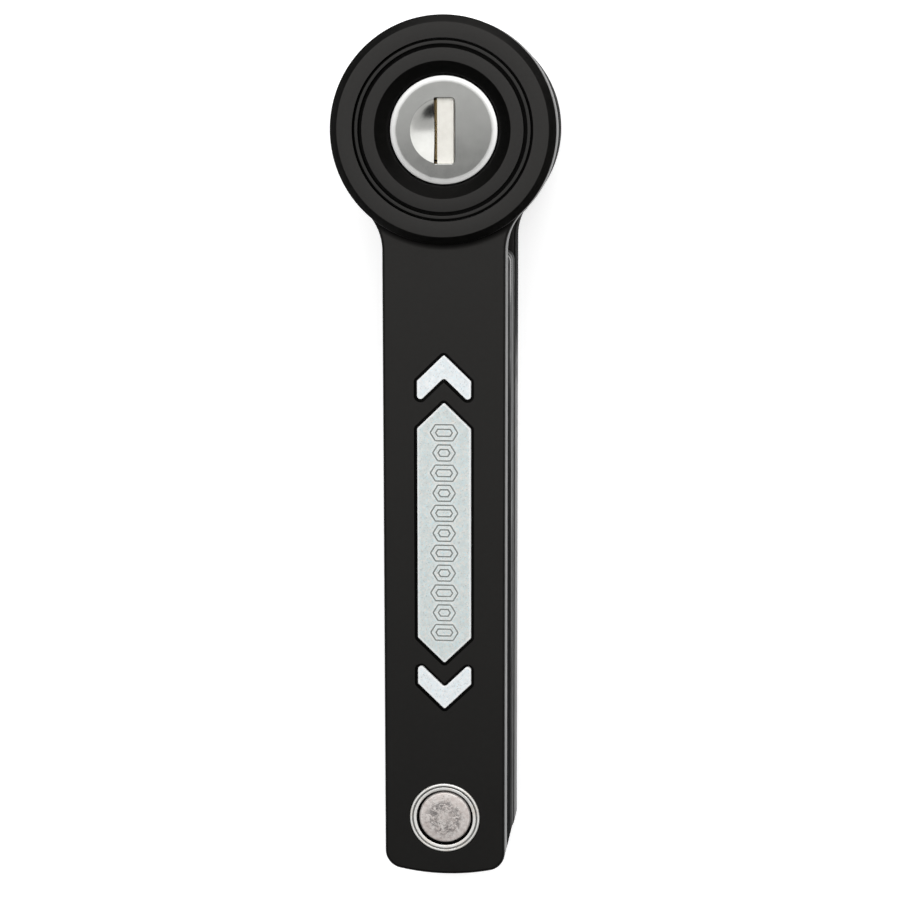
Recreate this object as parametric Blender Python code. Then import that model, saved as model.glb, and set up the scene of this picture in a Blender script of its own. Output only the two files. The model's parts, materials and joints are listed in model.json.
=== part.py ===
"""A folding lock: six flat bars riveted into a zigzag chain, with a round lock head on the front bar.

The lock lies folded on its back. +Z points out of the front face, +Y runs along the bars to the
head and +X points right. The origin is the middle of the rear face, which rests on the ground.
Everything is in metres; MM turns the millimetres of the constants below into metres.
"""

import math

import bmesh
import bpy
from mathutils import Vector

MM = 0.001
GAP = 0.3 * MM  # clearance between pieces that lie in or on each other

# Outline of the folded lock
LENGTH = 192.2 * MM
BAR_WIDTH = 26.9 * MM
HEAD_RADIUS = 24.7 * MM
REAR_HEAD_RADIUS = 23.6 * MM
NECK_RADIUS = 12.0 * MM  # fillets between a bar and its round head
CORNER_RADIUS = 5.0 * MM
BOW_RADIUS = 44.0 * MM  # the bars' ends are slightly bowed
EDGE = 0.6 * MM  # bevel along the casings' edges
PIVOT_TO_END = 13.0 * MM
HEAD_TO_TOP_PIVOT = 39.0 * MM
HEAD_TO_BOTTOM_PIVOT = 154.5 * MM

HALF_WIDTH = BAR_WIDTH / 2
BAR_END = -LENGTH / 2
HEAD_Y = LENGTH / 2 - HEAD_RADIUS
TOP_Y = HEAD_Y - HEAD_TO_TOP_PIVOT
BOTTOM_Y = HEAD_Y - HEAD_TO_BOTTOM_PIVOT

# Layers, from the rear face up
BAND = 9.7 * MM  # depth of a cased bar, or of a pair of links, with one gap
LINK_PITCH = BAND / 2
REAR_TOP = BAND - GAP
LINK_BOTTOMS = {number: BAND + (5 - number) * LINK_PITCH for number in (2, 3, 4, 5)}
LINK_THICKNESS = LINK_PITCH - GAP
FRONT_BOTTOM = 3 * BAND
FRONT_TOP = 4 * BAND
CORE_THICKNESS = 5.7 * MM
CASING_WALL = 2.25 * MM

# Lock head
CAP_TOP = FRONT_TOP + 2.6 * MM
CAP_CHAMFER = (1.6 * MM, 1.0 * MM)  # radial and axial size
CAP_INNER = 19.86 * MM
TRIM_RING = (18.66 * MM, 19.26 * MM)  # inner and outer radius
BEZEL_OUTER = 17.9 * MM
WELL_TOP_RADIUS = 14.86 * MM
WELL_FLOOR_RADIUS = 12.3 * MM
HEAD_BOTTOM = CAP_TOP - 16.0 * MM
DRUM_RADIUS = 20.5 * MM
DRUM_BOTTOM = BAND + GAP
BODY_TOP = FRONT_TOP - GAP
BACK_PLATE_THICKNESS = 1.7 * MM
BACK_PIN_CIRCLE = 15.0 * MM
BACK_PIN_RADIUS = 1.3 * MM
BACK_PIN_LENGTH = 6.0 * MM

# Lock cylinder
PLUG_TOP = FRONT_TOP - 0.6 * MM
PLUG_RADIUS = 11.84 * MM
PLUG_BOTTOM = 33.4 * MM
PLUG_SKIN = 1.5 * MM
PLUG_HOLLOW = 10.0 * MM
MOON_RADIUS = 7.15 * MM
MOON_CENTRE = (-0.15 * MM, -0.25 * MM)  # from the plug's axis
MOON_DEPTH = 0.7 * MM
FLAP_LEFT = -1.5 * MM
FLAP_RIGHT = 2.15 * MM
FLAP_LOW = -7.1 * MM
FLAP_HIGH = 6.7 * MM
FLAP_THICKNESS = 0.9 * MM
FLAP_RECESS = 0.7 * MM
FLAP_AXIS_X = FLAP_RIGHT - FLAP_THICKNESS / 2
FLAP_AXIS_Z = PLUG_TOP - FLAP_RECESS - FLAP_THICKNESS / 2
SLOT_LEFT = FLAP_LEFT - 0.65 * MM
SLOT_RIGHT = FLAP_RIGHT + 0.25 * MM
SLOT_MARGIN = 0.25 * MM  # at the slot's upper and lower ends
TRUNNION_RADIUS = 0.35 * MM
TRUNNION_LENGTH = 0.8 * MM
SHELL_RADIUS = 14.0 * MM
SHELL_BOTTOM = 21.5 * MM
BARREL_RADIUS = 9.0 * MM
BARREL_BORE = 7.4 * MM
BARREL_BOTTOM = 23.8 * MM
BARREL_FLOOR = 0.8 * MM
DISC_COUNT = 6
DISC_THICKNESS = 1.0 * MM
DISC_PITCH = 1.35 * MM
GATE_STEP = 35.0  # degrees between the gates of neighbouring discs
GATE_WIDTH = 1.6 * MM
GATE_DEPTH = 1.0 * MM
KEYWAY = (3.9 * MM, 11.5 * MM)
SIDEBAR_WIDTH = 1.2 * MM
CAM_RADIUS = 7.2 * MM
CAM_BOTTOM = 20.6 * MM
CAM_TAIL = (2.1 * MM, 12.6 * MM)  # radius and lower end
BOLT_RADIUS = 3.7 * MM
BOLT_BOTTOM = DRUM_BOTTOM + 0.2 * MM
BOLT_SHOULDER = 18.3 * MM
BOLT_TOP = 20.3 * MM
BOLT_FLANGE = 7.0 * MM
BOLT_CHAMBER = 8.0 * MM

# Rivets, washers and the eye
SHANK_RADIUS = 4.0 * MM
RIVET_HEAD = 5.85 * MM
RIVET_HEAD_DEPTH = 1.5 * MM
RIVET_SINK = 0.1 * MM  # how far a rivet's head lies below the face
RING = (6.5 * MM, 7.95 * MM)
RING_DEPTH = 1.15 * MM
WASHER_RADIUS = 9.3 * MM
WASHER_THICKNESS = 0.6 * MM
BUSHING_RADIUS = 9.0 * MM
EYE_RADIUS = 4.6 * MM  # wider than the bolt, so that the bar is easily hooked on

# Inlays on the front bar, as distances below the middle of the head
INLAY_HALF_WIDTH = 6.0 * MM
INLAY_SLOPE = math.radians(44)
INLAY_THICKNESS = 0.8 * MM
INLAY_CORNER = 0.6 * MM
INLAY_BORDER = 0.6 * MM
UPPER_CHEVRON = (49.1 * MM, 54.2 * MM)  # outer tip and inner apex
PLAQUE = (59.7 * MM, 118.6 * MM)  # upper and lower tip
LOWER_CHEVRON = (129.2 * MM, 124.2 * MM)

FINE = 32
MEDIUM = 20
COARSE = 14


def arc(centre, radius, start, end, steps):
    """Points on an arc between two angles in degrees, both ends included."""
    angles = [math.radians(start + (end - start) * i / steps) for i in range(steps + 1)]
    return [(centre[0] + radius * math.cos(a), centre[1] + radius * math.sin(a)) for a in angles]


def lower_end(inset):
    """A bar's bowed lower end with its rounded corners, from the left side to the right side."""
    side = HALF_WIDTH - CORNER_RADIUS
    bow_y = BAR_END + BOW_RADIUS
    rise = math.sqrt((BOW_RADIUS - CORNER_RADIUS) ** 2 - side**2)
    tilt = math.degrees(math.atan2(side, rise))
    left = arc((-side, bow_y - rise), CORNER_RADIUS - inset, 180, 270 - tilt, 3)
    bow = arc((0, bow_y), BOW_RADIUS - inset, 270 - tilt, 270 + tilt, 4)
    right = arc((side, bow_y - rise), CORNER_RADIUS - inset, 270 + tilt, 360, 3)
    return left + bow[1:-1] + right


def head_end(radius, inset):
    """The neck fillets and the round head, from the right side to the left side."""
    across = HALF_WIDTH + NECK_RADIUS
    drop = math.sqrt((radius + NECK_RADIUS) ** 2 - across**2)
    lean = math.degrees(math.atan2(drop, across))
    neck_y = HEAD_Y - drop
    right = arc((across, neck_y), NECK_RADIUS + inset, 180, 180 - lean, 4)
    head = arc((0, HEAD_Y), radius - inset, -lean, 180 + lean, 26)
    left = arc((-across, neck_y), NECK_RADIUS + inset, lean, 0, 4)
    return right + head[1:-1] + left


def headed_outline(radius, inset=0.0):
    """Outline of a bar with a round head, moved inwards by inset."""
    return lower_end(inset) + head_end(radius, inset)


def link_outline(inset=0.0):
    """Outline of a link, whose two ends are alike, moved inwards by inset."""
    end = lower_end(inset)
    return end + [(-x, TOP_Y + BOTTOM_Y - y) for x, y in end]


def round_corners(points, radius, steps=2):
    """A convex or concave polygon with each corner replaced by an arc of the same radius."""
    rounded = []
    for i, here in enumerate(points):
        here = Vector(here)
        back = (Vector(points[i - 1]) - here).normalized()
        ahead = (Vector(points[(i + 1) % len(points)]) - here).normalized()
        half = back.angle(ahead) / 2
        centre = here + (back + ahead).normalized() * (radius / math.sin(half))
        first = here + back * (radius / math.tan(half)) - centre
        last = here + ahead * (radius / math.tan(half)) - centre
        for step in range(steps + 1):
            spoke = first.lerp(last, step / steps).normalized() * radius
            rounded.append(tuple(centre + spoke))
    return rounded


def chevron_outline(tip, apex, grow=0.0):
    """A chevron with its tip away from the plaque; grow moves its edges outwards."""
    way = 1 if tip < apex else -1
    slope = math.tan(INLAY_SLOPE)
    half = INLAY_HALF_WIDTH + grow
    slant = grow / math.cos(INLAY_SLOPE)
    outer = HEAD_Y - tip + way * slant
    inner = HEAD_Y - apex - way * slant
    corners = [(0, outer), (-half, outer - way * half * slope), (-half, inner - way * half * slope)]
    corners += [(0, inner), (half, inner - way * half * slope), (half, outer - way * half * slope)]
    return round_corners(corners, INLAY_CORNER)


def plaque_outline(grow=0.0):
    """A long hexagon with a tip at each end; grow moves its edges outwards."""
    slope = math.tan(INLAY_SLOPE)
    half = INLAY_HALF_WIDTH + grow
    slant = grow / math.cos(INLAY_SLOPE)
    top = HEAD_Y - PLAQUE[0] + slant
    bottom = HEAD_Y - PLAQUE[1] - slant
    corners = [(0, top), (-half, top - half * slope), (-half, bottom + half * slope)]
    corners += [(0, bottom), (half, bottom + half * slope), (half, top - half * slope)]
    return round_corners(corners, INLAY_CORNER)


def material(name, colour, roughness, metallic):
    """A Principled material."""
    made = bpy.data.materials.new(name)
    made.use_nodes = True
    shader = made.node_tree.nodes["Principled BSDF"]
    shader.inputs["Base Color"].default_value = (*colour, 1)
    shader.inputs["Roughness"].default_value = roughness
    shader.inputs["Metallic"].default_value = metallic
    made.diffuse_color = (*colour, 1)
    return made


def add_object(name, bm, origin=(0, 0, 0)):
    """An object of the mesh, with its origin moved to where it turns or sits."""
    bmesh.ops.translate(bm, verts=bm.verts, vec=-Vector(origin))
    bmesh.ops.recalc_face_normals(bm, faces=bm.faces)
    mesh = bpy.data.meshes.new(name)
    bm.to_mesh(mesh)
    bm.free()
    mesh.shade_smooth()
    mesh.set_sharp_from_angle(angle=math.radians(30))
    made = bpy.data.objects.new(name, mesh)
    made.location = origin
    bpy.context.scene.collection.objects.link(made)
    return made


def add_loft(bm, rings):
    """Adds a closed solid through rings, each an outline and its height, all of one point count."""
    loops = [[bm.verts.new((x, y, height)) for x, y in outline] for outline, height in rings]
    for low, high in zip(loops, loops[1:]):
        for i in range(len(low)):
            j = (i + 1) % len(low)
            bm.faces.new((low[i], low[j], high[j], high[i]))
    bm.faces.new(list(reversed(loops[0])))
    bm.faces.new(loops[-1])


def add_turned(bm, profile, segments, centre=(0.0, 0.0)):
    """Adds a solid turned about a vertical axis from its closed section of (radius, height) points."""
    rings = []
    for radius, height in profile:
        if radius == 0:
            rings.append([bm.verts.new((*centre, height))] * segments)
        else:
            ring = arc(centre, radius, 0, 360, segments)[:-1]
            rings.append([bm.verts.new((x, y, height)) for x, y in ring])
    for one, other in zip(rings, rings[1:] + rings[:1]):
        for i in range(segments):
            j = (i + 1) % segments
            corners = list(dict.fromkeys((one[i], one[j], other[j], other[i])))
            if len(corners) > 2:
                bm.faces.new(corners)


def add_box(bm, low, high):
    """Adds a box between two corners."""
    outline = [(low[0], low[1]), (high[0], low[1]), (high[0], high[1]), (low[0], high[1])]
    add_loft(bm, [(outline, low[2]), (outline, high[2])])


def disc_section(radius, low, high, bore=0.0):
    """Section of a plain disc, or of a ring where bore is given."""
    return [(bore, low), (radius, low), (radius, high), (bore, high)]


def turned(name, profile, finish, segments=MEDIUM, centre=(0.0, 0.0), origin=(0, 0, 0)):
    """A named turned piece."""
    bm = bmesh.new()
    add_turned(bm, profile, segments, centre)
    made = add_object(name, bm, origin)
    made.data.materials.append(finish)
    return made


def lofted(name, rings, finish, origin=(0, 0, 0)):
    """A named lofted piece."""
    bm = bmesh.new()
    add_loft(bm, rings)
    made = add_object(name, bm, origin)
    made.data.materials.append(finish)
    return made


def change(target, name, bm, operation):
    """Cuts the solids of bm out of target, or joins them to it."""
    tool = add_object(name, bm, target.location)
    tool.hide_render = True
    tool.display_type = "WIRE"
    boolean = target.modifiers.new(name, "BOOLEAN")
    boolean.operation = operation
    boolean.solver = "EXACT"
    boolean.object = tool


def add_rivet_head_cut(bm, pivot_y, face, outward, radius=RIVET_HEAD + GAP):
    """Adds the counterbore of a rivet's head in a face; outward is 1 for a front face, -1 for a rear."""
    inside = face - outward * (RIVET_SINK + RIVET_HEAD_DEPTH + GAP)
    low, high = sorted((inside, face + outward * GAP))
    add_turned(bm, disc_section(radius, low, high), MEDIUM, (0.0, pivot_y))


def add_shank_cut(bm, pivot_y, low, high):
    """Adds the hole of a rivet's shank."""
    section = disc_section(SHANK_RADIUS + GAP, low - GAP, high + GAP)
    add_turned(bm, section, MEDIUM, (0.0, pivot_y))


def add_washer_cut(bm, pivot_y, face):
    """Adds the recess of a friction washer in a front face."""
    depth = WASHER_THICKNESS + GAP
    section = disc_section(WASHER_RADIUS + GAP, face - depth, face + GAP)
    add_turned(bm, section, MEDIUM, (0.0, pivot_y))


def make_front_casing(finish):
    """The front bar's casing: a tray open to the rear, with a deeper round head and inlay recesses."""
    rings = [(headed_outline(HEAD_RADIUS, EDGE), FRONT_BOTTOM)]
    rings += [(headed_outline(HEAD_RADIUS), FRONT_BOTTOM + EDGE)]
    rings += [(headed_outline(HEAD_RADIUS), FRONT_TOP - EDGE)]
    rings += [(headed_outline(HEAD_RADIUS, EDGE), FRONT_TOP)]
    casing = lofted("front_bar_casing", rings, finish)

    collar = bmesh.new()
    middle = FRONT_BOTTOM + 2 * EDGE
    section = disc_section(HEAD_RADIUS - EDGE / 2, HEAD_BOTTOM, middle, HEAD_RADIUS - CASING_WALL)
    add_turned(collar, section, FINE, (0.0, HEAD_Y))
    change(casing, "head_collar_join", collar, "UNION")

    pocket = bmesh.new()
    outline = headed_outline(HEAD_RADIUS, CASING_WALL)
    pocket_top = FRONT_BOTTOM + CORE_THICKNESS + GAP
    add_loft(pocket, [(outline, FRONT_BOTTOM - MM), (outline, pocket_top)])
    change(casing, "front_pocket_cut", pocket, "DIFFERENCE")

    holes = bmesh.new()
    bore = disc_section(DRUM_RADIUS + GAP, HEAD_BOTTOM - MM, FRONT_TOP + MM)
    add_turned(holes, bore, FINE, (0.0, HEAD_Y))
    recess_floor = FRONT_TOP - INLAY_THICKNESS - 2 * GAP
    inlays = [chevron_outline(*UPPER_CHEVRON, INLAY_BORDER), plaque_outline(INLAY_BORDER)]
    inlays += [chevron_outline(*LOWER_CHEVRON, INLAY_BORDER)]
    for outline in inlays:
        add_loft(holes, [(outline, recess_floor), (outline, FRONT_TOP + MM)])
    change(casing, "front_hole_cut", holes, "DIFFERENCE")

    rivet_hole = bmesh.new()
    add_rivet_head_cut(rivet_hole, BOTTOM_Y, FRONT_TOP, 1, RING[1] + GAP)
    change(casing, "front_ring_cut", rivet_hole, "DIFFERENCE")
    shank = bmesh.new()
    add_shank_cut(shank, BOTTOM_Y, pocket_top - MM, FRONT_TOP)
    change(casing, "front_shank_cut", shank, "DIFFERENCE")


def make_front_core(finish):
    """The hardened bar inside the front casing, with a ring round the lock body."""
    outline = headed_outline(HEAD_RADIUS, CASING_WALL + GAP)
    top = FRONT_BOTTOM + CORE_THICKNESS
    core = lofted("front_bar_core", [(outline, FRONT_BOTTOM), (outline, top)], finish)

    collar = bmesh.new()
    ring = HEAD_RADIUS - CASING_WALL - GAP
    inner = DRUM_RADIUS + GAP
    section = disc_section(ring, HEAD_BOTTOM + GAP, FRONT_BOTTOM + MM, inner - GAP / 2)
    add_turned(collar, section, FINE, (0.0, HEAD_Y))
    change(core, "core_collar_join", collar, "UNION")

    holes = bmesh.new()
    bore = disc_section(inner, HEAD_BOTTOM - MM, top + MM)
    add_turned(holes, bore, FINE, (0.0, HEAD_Y))
    add_shank_cut(holes, BOTTOM_Y, FRONT_BOTTOM, top)
    change(core, "front_core_cut", holes, "DIFFERENCE")


def make_rear_casing(finish):
    """The rear bar's casing: a tray open to the front."""
    rings = [(headed_outline(REAR_HEAD_RADIUS, EDGE), 0.0)]
    rings += [(headed_outline(REAR_HEAD_RADIUS), EDGE)]
    rings += [(headed_outline(REAR_HEAD_RADIUS), REAR_TOP - EDGE)]
    rings += [(headed_outline(REAR_HEAD_RADIUS, EDGE), REAR_TOP)]
    casing = lofted("rear_bar_casing", rings, finish)

    pocket = bmesh.new()
    outline = headed_outline(REAR_HEAD_RADIUS, CASING_WALL)
    pocket_floor = REAR_TOP - CORE_THICKNESS - GAP
    add_loft(pocket, [(outline, pocket_floor), (outline, REAR_TOP + MM)])
    change(casing, "rear_pocket_cut", pocket, "DIFFERENCE")

    ring_hole = bmesh.new()
    add_rivet_head_cut(ring_hole, BOTTOM_Y, 0.0, -1, RING[1] + GAP)
    change(casing, "rear_ring_cut", ring_hole, "DIFFERENCE")
    shank = bmesh.new()
    add_shank_cut(shank, BOTTOM_Y, 0.0, pocket_floor + MM)
    change(casing, "rear_shank_cut", shank, "DIFFERENCE")


def make_rear_core(finish):
    """The hardened bar inside the rear casing, bored for the eye bushing."""
    outline = headed_outline(REAR_HEAD_RADIUS, CASING_WALL + GAP)
    floor = REAR_TOP - CORE_THICKNESS
    core = lofted("rear_bar_core", [(outline, floor), (outline, REAR_TOP)], finish)
    holes = bmesh.new()
    bore = disc_section(BUSHING_RADIUS + GAP, floor - MM, REAR_TOP + MM)
    add_turned(holes, bore, MEDIUM, (0.0, HEAD_Y))
    add_shank_cut(holes, BOTTOM_Y, floor, REAR_TOP)
    change(core, "rear_core_cut", holes, "DIFFERENCE")
    recess = bmesh.new()
    add_washer_cut(recess, BOTTOM_Y, REAR_TOP)
    change(core, "rear_washer_cut", recess, "DIFFERENCE")


def make_eye_bushing(finish):
    """The steel eye that the bolt enters."""
    floor = REAR_TOP - CORE_THICKNESS
    section = disc_section(BUSHING_RADIUS, floor, REAR_TOP, EYE_RADIUS)
    turned("eye_bushing", section, finish, MEDIUM, (0.0, HEAD_Y))


def make_link(number, finish):
    """A link: its front pivot carries a washer, its other pivot a rivet's head."""
    bottom = LINK_BOTTOMS[number]
    top = bottom + LINK_THICKNESS
    edge = EDGE / 2
    rings = [(link_outline(edge), bottom), (link_outline(), bottom + edge)]
    rings += [(link_outline(), top - edge), (link_outline(edge), top)]
    link = lofted(f"link_{number}", rings, finish)
    to_front, to_rear = (BOTTOM_Y, TOP_Y) if number % 2 == 0 else (TOP_Y, BOTTOM_Y)
    counterbores = bmesh.new()
    add_rivet_head_cut(counterbores, to_front, bottom, -1)
    add_rivet_head_cut(counterbores, to_rear, top, 1)
    add_washer_cut(counterbores, to_front, top)
    change(link, f"link_{number}_counterbore_cut", counterbores, "DIFFERENCE")
    shanks = bmesh.new()
    add_shank_cut(shanks, to_front, bottom, top)
    add_shank_cut(shanks, to_rear, bottom, top)
    change(link, f"link_{number}_shank_cut", shanks, "DIFFERENCE")


def make_rivet(number, pivot_y, low, high, finish):
    """A rivet with a head at each end, from one outer face to the other."""
    low += RIVET_SINK
    high -= RIVET_SINK
    section = [(0, low), (RIVET_HEAD, low), (RIVET_HEAD, low + RIVET_HEAD_DEPTH)]
    section += [(SHANK_RADIUS, low + RIVET_HEAD_DEPTH), (SHANK_RADIUS, high - RIVET_HEAD_DEPTH)]
    section += [(RIVET_HEAD, high - RIVET_HEAD_DEPTH), (RIVET_HEAD, high), (0, high)]
    turned(f"rivet_{number}", section, finish, COARSE, (0.0, pivot_y))


def make_washer(number, pivot_y, face, finish):
    """A friction washer in its recess, just under the face of the bar in front."""
    section = disc_section(WASHER_RADIUS, face - WASHER_THICKNESS, face, SHANK_RADIUS + 2 * GAP)
    turned(f"washer_{number}", section, finish, COARSE, (0.0, pivot_y))


def make_rivet_ring(name, face, outward, finish):
    """The ring round the outer head of a rivet."""
    near = face - outward * RIVET_SINK
    low, high = sorted((near, near - outward * RING_DEPTH))
    turned(name, disc_section(RING[1], low, high, RING[0]), finish, MEDIUM, (0.0, BOTTOM_Y))


def make_pivots(steel, polymer, bright):
    """The five rivets, each through two neighbouring bars, with their washers and outer rings."""
    tops = {number: LINK_BOTTOMS[number] + LINK_THICKNESS for number in LINK_BOTTOMS}
    fronts = [FRONT_TOP, tops[2], tops[3], tops[4], tops[5]]
    rears = [LINK_BOTTOMS[2], LINK_BOTTOMS[3], LINK_BOTTOMS[4], LINK_BOTTOMS[5], 0.0]
    seats = [tops[2], tops[3], tops[4], tops[5], REAR_TOP]
    for index in range(5):
        pivot_y = BOTTOM_Y if index % 2 == 0 else TOP_Y
        make_rivet(index + 1, pivot_y, rears[index], fronts[index], steel)
        make_washer(index + 1, pivot_y, seats[index], polymer)
    make_rivet_ring("front_rivet_ring", FRONT_TOP, 1, bright)
    make_rivet_ring("rear_rivet_ring", 0.0, -1, bright)


def make_inlays(pale, silver):
    """The two chevrons and the plaque, each sunk in its recess."""
    top = FRONT_TOP - GAP / 2
    low = top - INLAY_THICKNESS
    upper = chevron_outline(*UPPER_CHEVRON)
    lower = chevron_outline(*LOWER_CHEVRON)
    lofted("upper_chevron", [(upper, low), (upper, top)], pale)
    lofted("plaque", [(plaque_outline(), low), (plaque_outline(), top)], silver)
    lofted("lower_chevron", [(lower, low), (lower, top)], pale)


def make_head_trim(dark, ring_finish):
    """The cap, the trim ring in its groove and the bezel with the well round the plug."""
    base = FRONT_TOP + GAP
    bevel_across, bevel_down = CAP_CHAMFER
    cap = [(CAP_INNER, base), (HEAD_RADIUS, base), (HEAD_RADIUS, CAP_TOP - bevel_down)]
    cap += [(HEAD_RADIUS - bevel_across, CAP_TOP), (CAP_INNER, CAP_TOP)]
    turned("head_cap", cap, dark, FINE, (0.0, HEAD_Y))
    ring = disc_section(TRIM_RING[1], base, CAP_TOP, TRIM_RING[0])
    turned("trim_ring", ring, ring_finish, FINE, (0.0, HEAD_Y))
    bezel = [(WELL_FLOOR_RADIUS, base), (BEZEL_OUTER, base), (BEZEL_OUTER, CAP_TOP)]
    bezel += [(WELL_TOP_RADIUS, CAP_TOP)]
    turned("cylinder_bezel", bezel, dark, FINE, (0.0, HEAD_Y))


def back_pin_places():
    """Where the back plate's pins stand."""
    return arc((0.0, HEAD_Y), BACK_PIN_CIRCLE, 90, 330, 2)


def make_lock_body(finish):
    """The steel drum that holds the cylinder above and the bolt below."""
    low = DRUM_BOTTOM + BACK_PLATE_THICKNESS + GAP
    shelf = SHELL_BOTTOM - GAP
    section = [(BOLT_CHAMBER, low), (DRUM_RADIUS, low), (DRUM_RADIUS, BODY_TOP)]
    section += [(SHELL_RADIUS + GAP, BODY_TOP), (SHELL_RADIUS + GAP, shelf), (BOLT_CHAMBER, shelf)]
    body = turned("lock_body", section, finish, FINE, (0.0, HEAD_Y))
    holes = bmesh.new()
    for place in back_pin_places():
        hole = disc_section(BACK_PIN_RADIUS + GAP, low - MM, DRUM_BOTTOM + BACK_PIN_LENGTH + 2 * GAP)
        add_turned(holes, hole, 12, place)
    change(body, "body_pin_cut", holes, "DIFFERENCE")


def make_back_plate(plate_finish, pin_finish):
    """The plate that closes the drum's rear, with its three pins."""
    top = DRUM_BOTTOM + BACK_PLATE_THICKNESS
    section = disc_section(DRUM_RADIUS, DRUM_BOTTOM, top, BOLT_RADIUS + GAP)
    plate = turned("lock_back_plate", section, plate_finish, FINE, (0.0, HEAD_Y))
    holes = bmesh.new()
    for number, place in enumerate(back_pin_places(), 1):
        hole = disc_section(BACK_PIN_RADIUS + GAP, DRUM_BOTTOM - MM, top + MM)
        add_turned(holes, hole, 12, place)
        pin = disc_section(BACK_PIN_RADIUS, DRUM_BOTTOM + RIVET_SINK, DRUM_BOTTOM + BACK_PIN_LENGTH)
        turned(f"back_plate_pin_{number}", pin, pin_finish, 12, place)
    change(plate, "plate_pin_cut", holes, "DIFFERENCE")


def make_cylinder_shell(finish):
    """The fixed shell that the plug turns in."""
    step = PLUG_BOTTOM - GAP
    inner = BARREL_RADIUS + GAP
    outer_bore = PLUG_RADIUS + GAP
    section = [(inner, SHELL_BOTTOM), (SHELL_RADIUS, SHELL_BOTTOM), (SHELL_RADIUS, PLUG_TOP)]
    section += [(outer_bore, PLUG_TOP), (outer_bore, step), (inner, step)]
    turned("cylinder_shell", section, finish, MEDIUM, (0.0, HEAD_Y))


def make_plug_face(finish):
    """The polished plug face: a hollow disc with a half-moon hollow, the keyway and two flap bearings."""
    rim = 0.8 * MM
    ceiling = PLUG_TOP - PLUG_SKIN
    section = [(0, ceiling), (PLUG_HOLLOW, ceiling), (PLUG_HOLLOW, PLUG_BOTTOM)]
    section += [(PLUG_RADIUS, PLUG_BOTTOM), (PLUG_RADIUS, PLUG_TOP - rim / 2)]
    section += [(PLUG_RADIUS - rim / 2, PLUG_TOP), (0, PLUG_TOP)]
    origin = (0, HEAD_Y, PLUG_BOTTOM)
    face = turned("plug_face", section, finish, FINE, (0.0, HEAD_Y), origin)

    moon = bmesh.new()
    centre = (MOON_CENTRE[0], HEAD_Y + MOON_CENTRE[1])
    reach = math.degrees(math.acos((SLOT_LEFT + MM - MOON_CENTRE[0]) / MOON_RADIUS))
    half_moon = arc(centre, MOON_RADIUS, reach, 360 - reach, 14)
    add_loft(moon, [(half_moon, PLUG_TOP - MOON_DEPTH), (half_moon, PLUG_TOP + MM)])
    change(face, "half_moon_cut", moon, "DIFFERENCE")

    slot = bmesh.new()
    low = (SLOT_LEFT, HEAD_Y + FLAP_LOW - SLOT_MARGIN, ceiling - MM)
    high = (SLOT_RIGHT, HEAD_Y + FLAP_HIGH + SLOT_MARGIN, PLUG_TOP + MM)
    add_box(slot, low, high)
    change(face, "keyway_cut", slot, "DIFFERENCE")

    bearing = bmesh.new()
    side = TRUNNION_RADIUS + GAP
    reach = TRUNNION_LENGTH + GAP
    low = (FLAP_AXIS_X - side, HEAD_Y + FLAP_LOW - reach, ceiling - MM)
    high = (FLAP_AXIS_X + side, HEAD_Y + FLAP_HIGH + reach, FLAP_AXIS_Z + side)
    add_box(bearing, low, high)
    change(face, "flap_bearing_cut", bearing, "DIFFERENCE")


def make_plug_barrel(finish):
    """The plug's barrel, with a slot for the sidebar and a keyed floor."""
    top = PLUG_BOTTOM - GAP
    floor = BARREL_BOTTOM + BARREL_FLOOR
    section = [(0, BARREL_BOTTOM), (BARREL_RADIUS, BARREL_BOTTOM), (BARREL_RADIUS, top)]
    section += [(BARREL_BORE, top), (BARREL_BORE, floor), (0, floor)]
    origin = (0, HEAD_Y, BARREL_BOTTOM)
    barrel = turned("plug_barrel", section, finish, MEDIUM, (0.0, HEAD_Y), origin)
    slots = bmesh.new()
    half = SIDEBAR_WIDTH / 2 + GAP
    low = (-half, HEAD_Y + BARREL_BORE - MM, floor)
    high = (half, HEAD_Y + BARREL_RADIUS + MM, top + MM)
    add_box(slots, low, high)
    change(barrel, "sidebar_cut", slots, "DIFFERENCE")


def make_discs(finish):
    """The detainer discs, each with a keyway and with its gate at another angle."""
    keyway_x, keyway_y = KEYWAY[0] / 2, KEYWAY[1] / 2
    start = BARREL_BOTTOM + BARREL_FLOOR + GAP
    radius = BARREL_BORE - GAP
    for number in range(1, DISC_COUNT + 1):
        low = start + (number - 1) * DISC_PITCH
        turn = GATE_STEP * number
        half = math.degrees(math.asin(GATE_WIDTH / 2 / radius))
        rim = arc((0.0, HEAD_Y), radius, turn + half, turn + 360 - half, COARSE)
        notch = arc((0.0, HEAD_Y), radius - GATE_DEPTH, turn - half, turn + half, 1)
        outline = rim + notch
        place = (0, HEAD_Y, low)
        rings = [(outline, low), (outline, low + DISC_THICKNESS)]
        disc = lofted(f"detainer_disc_{number}", rings, finish, place)
        keyway = bmesh.new()
        bottom = (-keyway_x, HEAD_Y - keyway_y, low - MM)
        top = (keyway_x, HEAD_Y + keyway_y, low + DISC_THICKNESS + MM)
        add_box(keyway, bottom, top)
        change(disc, f"disc_{number}_keyway_cut", keyway, "DIFFERENCE")


def make_sidebar(finish):
    """The bar that the discs' gates let in."""
    half = SIDEBAR_WIDTH / 2
    inner = HEAD_Y + BARREL_BORE
    outer = HEAD_Y + BARREL_RADIUS - RIVET_SINK
    outline = [(-half, inner), (half, inner), (half, outer), (-half, outer)]
    low = BARREL_BOTTOM + BARREL_FLOOR + GAP
    high = PLUG_BOTTOM - 2 * GAP
    lofted("sidebar", [(outline, low), (outline, high)], finish, (0, HEAD_Y, low))


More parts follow.
